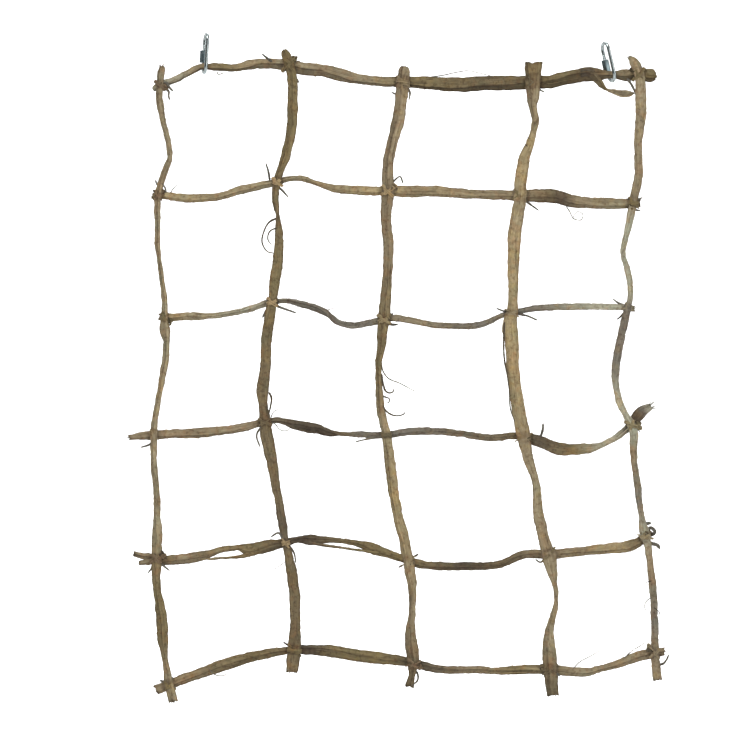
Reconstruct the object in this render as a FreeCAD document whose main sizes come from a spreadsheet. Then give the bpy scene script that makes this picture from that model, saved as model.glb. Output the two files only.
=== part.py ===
"""Hanging climbing net of flat bark strips, as a parametric FreeCAD document.

Five upright strips lie in front of six crosspieces, and twine lashings tie them at all thirty
crossings. The top crosspiece hangs in two steel quick links, each with a sleeve nut. The uprights
bend between the crosspieces, so each is made in six lengths with a fold line between them.

Millimetres. +Z is up, +X runs along the crosspieces and the net lies in the XZ plane. The origin
is the inside top of the left link's upper bend, where the net is hung from.
"""

import FreeCAD, Part
import math
import os
import Sketcher
from FreeCAD import Placement, Rotation, Vector

# Driving dimensions: alias, value, meaning.
SIZES = [
    ("strip_thickness", 3.5, "thickness of a folded bark strip"),
    ("layer_gap", 0.1, "between the uprights and the crosspieces"),
    ("fold_gap", 1.2, "from a fold line to the end of an upright's length"),
    ("fold_line_1", -122.0, "height of the fold line under row 1"),
    ("fold_line_2", -267.0, "height of the fold line under row 2"),
    ("fold_line_3", -413.0, "height of the fold line under row 3"),
    ("fold_line_4", -559.0, "height of the fold line under row 4"),
    ("fold_line_5", -702.0, "height of the fold line under row 5"),
    ("twine_width", 1.5, "width and thickness of the lashing twine"),
    ("twine_slack", 0.1, "between the twine and the faces it is wrapped round"),
    ("twine_reach", 2.1, "from a crossing's corner to the twine that passes it"),
    ("twine_bend", 1.8, "outer radius where the twine turns round the strips"),
    ("link_wire", 4.5, "diameter of the link's wire"),
    ("link_bend", 8.0, "radius of the link's two bends, to the middle of the wire"),
    ("link_leg", 31.5, "straight length between the link's bends"),
    ("link_mouth", 6.0, "opening between the link's threaded ends"),
    ("mouth_low", 9.25, "from the lower bend's centre up to the opening"),
    ("nut_length", 15.0, "length of the sleeve nut"),
    ("nut_seat", 5.0, "from the lower bend's centre up to the closed nut"),
    ("nut_flats", 9.0, "width across the nut's flats"),
    ("nut_bore", 4.7, "bore of the nut over the threaded ends"),
    ("nut_chamfer", 0.7, "chamfer round the nut's ends"),
    ("left_lean", 3.5, "degrees that the left link leans in the net's plane"),
    ("left_turn", 17.0, "degrees that the left link is turned from square"),
    ("right_lean", 13.0, "degrees that the right link leans in the net's plane"),
    ("right_turn", 20.0, "degrees that the right link is turned from square"),
    ("right_link_x", 498.0, "where the right link's lower bend holds the strip"),
    ("right_link_z", -47.5, "height of the right link's lower bend centre"),
]

# Each strip's middle line and width, every few centimetres: x, z, width. Uprights run downwards.
UPRIGHTS = [
    [(-55, -37, 7), (-57, -59, 7), (-58, -73, 7), (-54, -105, 6), (-46, -151, 6), (-54, -173, 7),
     (-60, -196, 7), (-61, -228, 6), (-60, -267, 5), (-54, -306, 4), (-52, -346, 7), (-52, -359, 11),
     (-50, -376, 7), (-51, -399, 8), (-55, -422, 7), (-62, -461, 6), (-65, -492, 7), (-65, -531, 7),
     (-61, -569, 7), (-61, -593, 8), (-61, -617, 11), (-62, -643, 11), (-60, -690, 9),
     (-56, -713, 12), (-54, -742, 12), (-52, -760, 7), (-46, -797, 10), (-41, -818, 11)],
    [(95, -18, 10), (100, -30, 11), (105, -50, 11), (106, -82, 11), (105, -113, 11), (98, -145, 10),
     (87, -181, 8), (85, -202, 7), (88, -224, 4), (89, -240, 8), (89, -267, 11), (85, -298, 12),
     (81, -328, 10), (78, -344, 12), (74, -370, 12), (72, -415, 12), (69, -438, 13), (70, -454, 10),
     (72, -475, 13), (79, -513, 13), (87, -562, 9), (94, -601, 9), (98, -624, 7), (103, -641, 10),
     (107, -663, 12), (109, -688, 12), (109, -728, 12), (108, -755, 15), (105, -782, 13)],
    [(244, -38, 14), (242, -53, 14), (240, -74, 14), (235, -106, 14), (229, -129, 12),
     (224, -153, 12), (223, -191, 14), (221, -228, 12), (224, -258, 12), (223, -290, 11),
     (218, -349, 13), (216, -368, 12), (215, -383, 9), (212, -399, 7), (212, -422, 7), (216, -466, 9),
     (222, -491, 10), (226, -528, 12), (233, -578, 11), (243, -620, 12), (248, -645, 12),
     (253, -684, 9), (253, -704, 7), (251, -737, 12), (254, -771, 13), (253, -782, 8), (250, -800, 9)],
    [(402, -33, 20), (401.5, -55, 17), (401.5, -77, 13), (402, -89, 8), (404.5, -103, 9), (402, -117, 7),
     (397, -134, 9), (391, -150, 12), (387, -169, 14), (386, -196, 14), (379, -244, 15),
     (377, -290, 12), (376, -338, 12), (373, -354, 17), (375, -376, 17), (378, -422, 13),
     (385, -469, 16), (390, -493, 15), (394, -514, 12), (405, -549, 8), (410, -590, 12),
     (419, -625, 13), (421, -638, 16), (424, -656, 12), (428, -674, 6), (430, -691, 4),
     (427, -710, 6), (422, -728, 9), (421, -744, 13), (423, -779, 16), (426, -811, 13)],
    [(523, -27, 11), (532, -49, 11), (534, -74, 12), (534, -98, 12), (530, -127, 9), (531, -169, 9),
     (525, -205, 9), (515, -250, 6), (512, -265, 5), (516, -283, 6), (522, -306, 6), (522, -322, 5),
     (519, -334, 7), (509, -374, 9), (505, -394, 9), (503, -415, 8), (504, -435, 7), (509, -454, 7),
     (517, -469, 7), (522, -478, 9), (525, -517, 7), (532, -569, 7), (535, -593, 6), (538, -609, 11),
     (542, -626, 8), (548, -672, 8), (551, -728, 8), (551, -760, 9), (554, -792, 10)],
]
# Crosspieces run from left to right.
CROSSPIECES = [
    [(-65, -66, 5), (-57, -60, 6), (-42, -55, 7), (-24, -46, 7), (-13, -40.2, 7.5), (-8, -38.2, 7.6),
     (6, -38, 7.8), (35, -39, 8), (63, -34.5, 11), (88, -34.8, 12), (100, -36, 13), (118, -40.5, 15),
     (147, -44, 14), (167, -48.5, 14), (194, -54, 11), (218, -56, 11), (242, -57, 12),
     (264, -57.5, 14), (303, -59.5, 16), (361, -58, 17), (402, -57, 15), (418, -57, 14),
     (446, -51, 15), (469, -47, 16), (484, -49, 14), (491, -48, 8), (505, -48, 8), (512, -48, 14),
     (530, -48, 12), (544, -49, 14), (552, -50, 10)],
    [(-66, -198, 6), (-60, -196, 7), (-31, -198, 9), (-13, -198, 9), (15, -196, 8), (47, -186, 9),
     (87, -180, 7), (101, -176, 5), (117, -176, 6), (135, -181, 5), (154, -187, 8), (178, -189, 10),
     (223, -191, 10), (240, -191, 12), (272, -191, 12), (335, -195, 11), (386, -196, 12),
     (407, -196, 15), (430, -197, 16), (446, -202, 14), (501, -206, 12), (533, -205, 9)],
    [(-58, -346, 7), (-24, -344, 9), (8, -343, 7), (39, -338, 6), (81, -328, 6), (101, -326, 5),
     (117, -330, 7), (146, -340, 7), (161, -352, 6), (178, -356, 6), (209, -351, 7), (231, -347, 7),
     (248, -350, 7), (295, -357, 6), (343, -353, 6), (365, -343, 5), (391, -337, 6), (446, -333, 7),
     (493, -333, 7), (526, -335, 6)],
    [(-95, -494, 5), (-78, -492, 9), (-28, -489, 10), (3, -487, 11), (26, -483, 9), (51, -478, 9),
     (89, -472, 6), (105, -476, 9), (121, -480, 12), (140, -483, 10), (151, -488, 8), (165, -489, 4),
     (185, -490, 6), (222, -491, 7), (256, -486, 8), (303, -488, 7), (351, -494, 7), (390, -493, 9),
     (404, -496, 9), (434, -508, 13), (469, -506, 11), (485, -502, 7), (512, -487, 6), (522, -479, 6),
     (533, -467, 8), (545, -456, 6)],
    [(-71, -643, 10), (-51, -645, 11), (-28, -643, 12), (-4, -639, 10), (26, -637, 16), (49, -631, 15),
     (74, -626, 12), (98, -623, 9), (113, -619, 7), (129, -620, 12), (152, -624, 15), (175, -627, 15),
     (203, -631, 12), (224, -637, 9), (264, -650, 9), (311, -652, 9), (361, -650, 8), (394, -637, 9),
     (421, -638, 10), (469, -632, 10), (501, -628, 12), (522, -625, 11), (536, -619, 9),
     (552, -603, 9)],
    [(-62, -804, 11), (-46, -798, 11), (-9, -784, 11), (16, -775, 13), (42, -766, 12), (74, -759, 10),
     (108, -755, 9), (133, -755, 12), (194, -763, 13), (217, -766, 13), (254, -771, 9), (287, -779, 9),
     (335, -780, 8), (352, -781, 4), (376, -780, 11), (423, -779, 10), (469, -782, 9), (485, -778, 7),
     (501, -774, 8), (539, -761, 12), (563, -757, 9)],
]
# Where row 5 has split along its grain, and the fork at its left end.
SLITS = {
    5: [
        [(12, -637), (27, -634.5), (45, -634), (28, -639)],
        [(142, -622), (155, -622.5), (170, -624.5), (185, -628), (199, -632), (185, -632), (157, -627)],
    ],
}
FORKS = {5: [(-83, -651), (-83, -646), (-75, -643), (-89, -640), (-89, -635)]}
# A layer of row 1 that has peeled off beside the right link: middle line and width.
TONGUES = {
    1: [(472, -46, 10), (482, -57, 7), (493, -66, 4), (503, -69, 7), (513, -71, 9), (522, -71, 5),
        (526, -70, 2)],
}

FLAT = 1e-7


def make_sheet(doc):
    """Put the driving dimensions in a spreadsheet and return it."""
    sheet = doc.addObject("Spreadsheet::Sheet", "sizes")
    for row, (alias, value, meaning) in enumerate(SIZES, start=1):
        sheet.set(f"A{row}", alias)
        sheet.set(f"B{row}", str(value))
        sheet.set(f"C{row}", meaning)
        sheet.setAlias(f"B{row}", alias)
    doc.recompute()
    return sheet


def origin_plane(body, role):
    """The body's own origin plane of this role."""
    return next(f for f in body.Origin.OriginFeatures if f.Role == role)


def new_sketch(body, name, role, offset=None):
    """A sketch on one of the body's origin planes."""
    sketch = body.newObject("Sketcher::SketchObject", name)
    sketch.AttachmentSupport = [(origin_plane(body, role), "")]
    sketch.MapMode = "FlatFace"
    if offset is not None:
        sketch.AttachmentOffset = offset
    return sketch


def draw_outline(sketch, points):
    """Draw a closed outline of straight edges through the points."""
    for start, end in zip(points, points[1:] + points[:1]):
        sketch.addGeometry(Part.LineSegment(Vector(*start, 0), Vector(*end, 0)), False)


def new_body(doc, label):
    """A body with this label, standing at the origin."""
    body = doc.addObject("PartDesign::Body", label)
    body.Label = label
    body.Placement = Placement()
    return body


def pad_sketch(body, sketch, length, symmetric=False):
    """Pad a sketch to a length that an expression gives."""
    pad = body.newObject("PartDesign::Pad", sketch.Name + "_pad")
    pad.Profile = sketch
    pad.SideType = "Symmetric" if symmetric else "One side"
    pad.setExpression("Length", length)
    body.Tip = pad
    return pad


def station_at(stations, place, axis):
    """A strip's x, z and width where its coordinate of this number has this value, or its end's."""
    for low, high in zip(stations, stations[1:]):
        near, far = low[axis], high[axis]
        if min(near, far) <= place <= max(near, far) and near != far:
            share = (place - near) / (far - near)
            return tuple(a + share * (b - a) for a, b in zip(low, high))
    return min(stations[0], stations[-1], key=lambda end: abs(end[axis] - place))


def stretch_between(stations, top, bottom):
    """The stations of an upright from one height down to another, which are the cut ends."""
    inner = [s for s in stations if bottom < s[1] < top]
    first = inner[0] if top >= stations[0][1] else station_at(stations, top, 1)
    last = inner[-1] if bottom <= stations[-1][1] else station_at(stations, bottom, 1)
    return [first] + [s for s in inner if s not in (first, last)] + [last]


def upright_outline(stations):
    """An upright's outline: down its left edge and up its right one."""
    left = [(x - width / 2, z) for x, z, width in stations]
    right = [(x + width / 2, z) for x, z, width in stations]
    return left + right[::-1]


def crosspiece_outline(stations, fork=()):
    """A crosspiece's outline: along its top edge, back along its lower one, and round its fork."""
    top = [(x, z + width / 2) for x, z, width in stations]
    bottom = [(x, z - width / 2) for x, z, width in stations]
    return top + bottom[::-1] + list(fork)


def make_strip(doc, label, outline, back, holes=(), tongue=None):
    """A flat strip: its outline padded forwards from its back face."""
    body = new_body(doc, label)
    body.setExpression(".Placement.Base.y", back)
    sketch = new_sketch(body, label + "_outline", "XZ_Plane")
    draw_outline(sketch, outline)
    for hole in holes:
        draw_outline(sketch, hole)
    pad_sketch(body, sketch, "sizes.strip_thickness")
    if tongue:
        peel = new_sketch(body, label + "_tongue", "XZ_Plane")
        draw_outline(peel, crosspiece_outline(tongue))
        pad_sketch(body, peel, "sizes.strip_thickness")
    return body


def make_crosspieces(doc):
    """The six crosspieces, whose middle plane is the net's."""
    return [
        make_strip(
            doc,
            f"crosspiece_{row}",
            crosspiece_outline(stations, FORKS.get(row, ())),
            "sizes.strip_thickness / 2",
            SLITS.get(row, ()),
            TONGUES.get(row),
        )
        for row, stations in enumerate(CROSSPIECES, start=1)
    ]


def make_uprights(doc, sheet):
    """The five uprights in front of the crosspieces, each in six lengths with a gap at each fold."""
    gap = sheet.get("fold_gap")
    folds = [sheet.get(f"fold_line_{n}") for n in range(1, len(CROSSPIECES))]
    tops = [math.inf] + [fold - gap for fold in folds]
    bottoms = [fold + gap for fold in folds] + [-math.inf]
    return [
        make_strip(
            doc,
            f"upright_{column}_row_{row}",
            upright_outline(stretch_between(stations, top, bottom)),
            "-sizes.strip_thickness / 2 - sizes.layer_gap",
        )
        for column, stations in enumerate(UPRIGHTS, start=1)
        for row, (top, bottom) in enumerate(zip(tops, bottoms), start=1)
    ]


def corner(upright, crosspiece, side, level):
    """A corner of the patch where two strips cross: side is left or right, level top or bottom."""
    x = upright[len(upright) // 2][0]
    for _ in range(30):
        _, z, width = station_at(crosspiece, x, 0)
        z += level * width / 2
        x, _, width = station_at(upright, z, 1)
        x += side * width / 2
    return Vector(x, 0, z)


def draw_loop(sketch, half, low, high, radius):
    """Draw a rectangle with round corners, centred on the sketch's vertical axis."""
    middles = [
        (half - radius, high - radius, 0),
        (radius - half, high - radius, 90),
        (radius - half, low + radius, 180),
        (half - radius, low + radius, 270),
    ]
    arcs = []
    for x, y, start in middles:
        circle = Part.Circle(Vector(x, y, 0), Vector(0, 0, 1), radius)
        arcs.append(Part.ArcOfCircle(circle, math.radians(start), math.radians(start + 90)))
    for arc, following in zip(arcs, arcs[1:] + arcs[:1]):
        sketch.addGeometry(arc, False)
        sketch.addGeometry(Part.LineSegment(arc.EndPoint, following.StartPoint), False)


def make_lashing(doc, sheet, label, upright, crosspiece):
    """One lashing: two closed turns of twine, each from corner to corner over both strips."""
    thickness, gap = sheet.get("strip_thickness"), sheet.get("layer_gap")
    width, slack = sheet.get("twine_width"), sheet.get("twine_slack")
    front = -1.5 * thickness - gap - slack
    back = thickness / 2 + slack
    bend = sheet.get("twine_bend")
    body = new_body(doc, label)
    for name, level in (("rising", 1), ("falling", -1)):
        left = corner(upright, crosspiece, -1, -level)
        right = corner(upright, crosspiece, 1, level)
        span = right - left
        half = span.Length / 2 + sheet.get("twine_reach")
        turn = Rotation(Vector(0, 1, 0), -math.degrees(math.atan2(span.z, span.x)))
        sketch = new_sketch(body, f"{label}_{name}", "XY_Plane", Placement((left + right) / 2, turn))
        draw_loop(sketch, half, front, back, bend - width)
        draw_loop(sketch, half + width, front - width, back + width, bend)
        pad_sketch(body, sketch, "sizes.twine_width", symmetric=True)
    return body


def make_lashings(doc, sheet):
    """One group of five lashings for each crosspiece."""
    groups = []
    for row, crosspiece in enumerate(CROSSPIECES, start=1):
        group = doc.addObject("Part::Compound", f"lashings_row_{row}")
        group.Label = f"lashings_row_{row}"
        group.Links = [
            make_lashing(doc, sheet, f"lashing_{column}_row_{row}", upright, crosspiece)
            for column, upright in enumerate(UPRIGHTS, start=1)
        ]
        groups.append(group)
    return groups


def link_placement(sheet, side):
    """Where a link stands: its own origin is its lower bend's centre and its legs run along Z."""
    lean, turn = sheet.get(f"{side}_lean"), sheet.get(f"{side}_turn")
    lean_sign = 1 if side == "left" else -1
    rotation = Rotation(Vector(0, 1, 0), lean_sign * lean) * Rotation(Vector(0, 0, 1), turn)
    if side == "right":
        return Placement(Vector(sheet.get("right_link_x"), 0, sheet.get("right_link_z")), rotation)
    eye = Vector(0, 0, sheet.get("link_leg") + sheet.get("link_bend") - sheet.get("link_wire") / 2)
    return Placement(-rotation.multVec(eye), rotation)


def make_link(doc, sheet, side):
    """A link's wire: up the front leg, over both bends, open in the middle of the back leg."""
    bend, leg = sheet.get("link_bend"), sheet.get("link_leg")
    mouth_low, mouth = sheet.get("mouth_low"), sheet.get("link_mouth")
    body = new_body(doc, f"{side}_link_body")
    body.Placement = link_placement(sheet, side)
    path = new_sketch(body, f"{side}_link_path", "YZ_Plane")
    lower = Part.ArcOfCircle(Part.Circle(Vector(), Vector(0, 0, 1), bend), math.pi, 2 * math.pi)
    upper = Part.ArcOfCircle(Part.Circle(Vector(0, leg, 0), Vector(0, 0, 1), bend), 0, math.pi)
    run = [
        Part.LineSegment(Vector(bend, mouth_low, 0), Vector(bend, 0, 0)),
        lower,
        Part.LineSegment(Vector(-bend, 0, 0), Vector(-bend, leg, 0)),
        upper,
        Part.LineSegment(Vector(bend, leg, 0), Vector(bend, mouth_low + mouth, 0)),
    ]
    for piece in run:
        path.addGeometry(piece, False)
    for arc in (1, 3):
        number = path.addConstraint(Sketcher.Constraint("Radius", arc, bend))
        path.renameConstraint(number, "bend_radius_low" if arc == 1 else "bend_radius_high")
    path.setExpression("Constraints.bend_radius_low", "sizes.link_bend")
    path.setExpression("Constraints.bend_radius_high", "sizes.link_bend")
    mouth_edge = Placement(Vector(0, 0, mouth_low), Rotation())
    section = new_sketch(body, f"{side}_link_section", "XY_Plane", mouth_edge)
    circle = section.addGeometry(Part.Circle(Vector(0, bend, 0), Vector(0, 0, 1), 1), False)
    number = section.addConstraint(Sketcher.Constraint("Diameter", circle, sheet.get("link_wire")))
    section.renameConstraint(number, "wire")
    section.setExpression("Constraints.wire", "sizes.link_wire")
    pipe = body.newObject("PartDesign::AdditivePipe", f"{side}_link_pipe")
    pipe.Profile = section
    pipe.Spine = (path, [])
    body.Tip = pipe
    return body


def make_nut(doc, sheet, side):
    """The long hexagonal sleeve nut on a link's back leg, closed."""
    bend, flats = sheet.get("link_bend"), sheet.get("nut_flats")
    body = new_body(doc, f"{side}_link_nut")
    seat = Placement(Vector(0, bend, sheet.get("nut_seat")), Rotation())
    body.Placement = link_placement(sheet, side) * seat
    corner = flats / math.sqrt(3)
    hexagon = [
        (corner * math.cos(math.radians(60 * n)), corner * math.sin(math.radians(60 * n)))
        for n in range(6)
    ]
    outline = new_sketch(body, f"{side}_nut_outline", "XY_Plane")
    draw_outline(outline, hexagon)
    blank = pad_sketch(body, outline, "sizes.nut_length")
    doc.recompute()
    ends = [
        f"Edge{n}"
        for n, edge in enumerate(blank.Shape.Edges, start=1)
        if edge.BoundBox.ZLength < FLAT
    ]
    chamfer = body.newObject("PartDesign::Chamfer", f"{side}_nut_chamfer")
    chamfer.Base = (blank, ends)
    chamfer.setExpression("Size", "sizes.nut_chamfer")
    bore_sketch = new_sketch(body, f"{side}_nut_bore_circle", "XY_Plane")
    circle = bore_sketch.addGeometry(Part.Circle(Vector(), Vector(0, 0, 1), 1), False)
    number = bore_sketch.addConstraint(Sketcher.Constraint("Diameter", circle, sheet.get("nut_bore")))
    bore_sketch.renameConstraint(number, "bore")
    bore_sketch.setExpression("Constraints.bore", "sizes.nut_bore")
    bore = body.newObject("PartDesign::Pocket", f"{side}_nut_bore")
    bore.Profile = bore_sketch
    bore.Type = "ThroughAll"
    bore.Reversed = True
    body.Tip = bore
    return body


def check_document(doc, parts):
    """Stop on a failed object or a sub-part whose shape is missing or not valid."""
    for item in doc.Objects:
        if "Invalid" in item.State or "Error" in item.State:
            raise RuntimeError(f"{item.Label} did not recompute: {item.State}")
    for piece in parts:
        if piece.Shape.isNull() or not piece.Shape.isValid() or not piece.Shape.Solids:
            raise RuntimeError(f"{piece.Label} has no valid shape")


def main():
    """Build the document, check it and write one STEP file for each sub-part."""
    doc = FreeCAD.newDocument("climbing_net")
    sheet = make_sheet(doc)
    parts = make_crosspieces(doc) + make_uprights(doc, sheet) + make_lashings(doc, sheet)
    for side in ("left", "right"):
        parts += [make_link(doc, sheet, side), make_nut(doc, sheet, side)]
    doc.recompute()
    check_document(doc, parts)
    os.makedirs("parts", exist_ok=True)
    for piece in parts:
        piece.Shape.exportStep(f"parts/{piece.Label}.step")
        print(piece.Label, len(piece.Shape.Solids), "solids", round(piece.Shape.Volume), "mm3")
    return doc


main()
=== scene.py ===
"""Climbing net of dried bark strips: the looks of its pieces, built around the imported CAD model.

The frame is the CAD model's: +Z is up, +X runs along the crosspieces, -Y is the front. The origin
is the inside top of the left link's upper bend. Lengths are in metres, apart from the tables of
stations and routes, which are in millimetres. Each bark strip is a flat blank that is rolled
round its own middle line, so that it closes into a folded strip with ridges, a lap where its
outer layer ends, half turns where it twists, and torn ends.
"""

import logging
import math
from dataclasses import dataclass, field
from enum import Enum

import bmesh
import bpy
import numpy as np
from mathutils import Matrix, Vector


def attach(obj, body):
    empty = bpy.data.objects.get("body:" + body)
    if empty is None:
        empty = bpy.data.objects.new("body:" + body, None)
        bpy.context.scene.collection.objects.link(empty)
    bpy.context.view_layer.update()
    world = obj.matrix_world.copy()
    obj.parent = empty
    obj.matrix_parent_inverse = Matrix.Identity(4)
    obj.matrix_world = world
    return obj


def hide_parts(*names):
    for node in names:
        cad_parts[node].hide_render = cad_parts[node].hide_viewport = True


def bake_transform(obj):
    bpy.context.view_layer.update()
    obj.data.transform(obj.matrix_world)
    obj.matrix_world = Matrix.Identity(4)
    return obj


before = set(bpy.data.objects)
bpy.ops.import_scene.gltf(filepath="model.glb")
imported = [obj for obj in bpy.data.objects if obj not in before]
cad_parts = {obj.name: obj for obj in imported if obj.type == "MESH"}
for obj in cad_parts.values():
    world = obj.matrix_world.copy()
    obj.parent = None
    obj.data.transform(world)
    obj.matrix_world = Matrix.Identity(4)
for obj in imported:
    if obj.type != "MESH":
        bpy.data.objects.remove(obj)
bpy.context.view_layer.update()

LOG = logging.getLogger("climbing_net")
MM = 0.001
FRONT = np.array((0.0, -1.0, 0.0))
UPRIGHT_PLANE = -3.6 * MM
CROSSPIECE_PLANE = 0.0
STRIP_THICKNESS = 3.5 * MM
SPANS = range(1, 6)
UPRIGHT_SEED = 100
CROSSPIECE_SEED = 200
TONGUE_SEED = 290
BRANCH_SEED = 300
LASHING_SEED = 400
TAIL_SEED_STEP = 5000
# How much darker each channel grows towards a strip's edges.
EDGE_DARKENING = np.array((0.38, 0.43, 0.42))
RUST_TINT = np.array((0.05, -0.03, -0.08))


class Tone(Enum):
    """Colours of dried bark and of the twine, as shares of full red, green and blue on a screen."""

    GOLDEN = (0.522, 0.468, 0.350)
    STRAW = (0.545, 0.535, 0.460)
    KHAKI = (0.500, 0.458, 0.362)
    FAWN = (0.470, 0.422, 0.332)
    OLIVE = (0.408, 0.362, 0.252)
    UMBER = (0.370, 0.325, 0.240)
    SLATE = (0.380, 0.362, 0.322)
    DUSK = (0.300, 0.266, 0.215)
    HONEY = (0.545, 0.470, 0.345)
    RUSSET = (0.400, 0.336, 0.258)

    def linear(self) -> np.ndarray:
        """This colour as linear light."""
        return np.array([c / 12.92 if c <= 0.04045 else ((c + 0.055) / 1.055) ** 2.4 for c in self.value])


# Each strip's middle line and width: x, z, width. Uprights run downwards, crosspieces to the right.
UPRIGHTS = {
    1: [(-54.2, -37, 5), (-55.2, -45, 7), (-57.2, -59, 7), (-58.2, -73, 7), (-53.2, -105, 6),
        (-45.2, -151, 6), (-53.2, -173, 7), (-59.2, -196, 7), (-60.2, -228, 6), (-59.2, -267, 5),
        (-53.2, -306, 5), (-51.2, -330, 6), (-51.2, -346, 7), (-51.2, -359, 11), (-49.2, -376, 7),
        (-50.2, -399, 8), (-54.2, -422, 7), (-61.2, -461, 6), (-64.2, -492, 7), (-64.2, -531, 7),
        (-60.2, -569, 7), (-60.2, -593, 8), (-60.2, -617, 11), (-61.2, -643, 11), (-59.2, -690, 9),
        (-55.2, -713, 12), (-53.2, -742, 12), (-51.2, -760, 7), (-45.2, -797, 10), (-40.2, -818, 11)],
    2: [(95, -18, 10), (100, -30, 11), (105, -50, 11), (106, -82, 11), (105, -113, 11), (98, -145, 10),
        (87, -181, 8), (85, -202, 7), (88, -224, 4), (89, -240, 8), (89, -267, 11), (85, -298, 12),
        (81, -328, 10), (78, -344, 12), (74, -370, 12), (72, -415, 12), (69, -438, 13), (70, -454, 10),
        (72, -475, 13), (79, -513, 13), (87, -562, 9), (94, -601, 9), (98, -624, 7), (101.5, -641, 10),
        (105.5, -663, 12), (108.5, -688, 12), (109, -728, 12), (108, -755, 15), (105, -782, 13)],
    3: [(244, -38, 13), (242, -53, 14), (240, -74, 14), (235, -106, 14), (229, -129, 12), (224, -153, 12),
        (223, -191, 14), (221, -228, 12), (224, -258, 12), (223, -290, 11), (218, -349, 13),
        (216, -368, 12), (215, -383, 9), (212, -399, 7), (212, -422, 7), (216, -466, 9), (222, -491, 10),
        (226, -528, 12), (233, -578, 11), (243, -620, 12), (248, -645, 12), (253, -684, 9), (253, -704, 7),
        (251, -737, 12), (254, -771, 13), (253, -782, 8), (250, -800, 9)],
    4: [(402, -33, 20), (401.5, -55, 17), (401.5, -77, 13), (401.5, -88, 8), (404.5, -103, 9),
        (402, -116, 7), (397, -134, 9), (391, -150, 12), (387, -169, 14), (386, -196, 14), (379, -244, 15),
        (377, -290, 12), (376, -338, 12), (373, -354, 17), (375, -376, 17), (378, -422, 13),
        (385, -469, 16), (390, -493, 15), (394, -514, 12), (405, -549, 8), (408.5, -590, 12),
        (416.8, -625, 13), (421, -638, 16), (424, -656, 12), (428, -674, 6), (430, -691, 4), (427, -710, 6),
        (422, -728, 9), (421, -744, 13), (423, -779, 16), (426, -811, 13)],
    5: [(520, -26, 4), (524, -31, 9), (529, -40, 11), (532, -49, 11), (534, -74, 12), (534, -98, 12),
        (530, -127, 9), (531, -169, 9), (525, -205, 9), (515, -250, 6), (512, -265, 5), (516, -283, 6),
        (520.5, -306, 6), (520.5, -322, 5), (518, -334, 7), (509, -374, 9), (505, -394, 9), (503, -415, 8),
        (504, -435, 7), (509, -454, 7), (517, -469, 7), (522, -478, 9), (525, -517, 7), (532, -569, 7),
        (535, -593, 6), (538, -609, 11), (542, -626, 8), (548, -672, 8), (551, -728, 8), (551, -760, 9),
        (554, -792, 10)],
}
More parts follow.
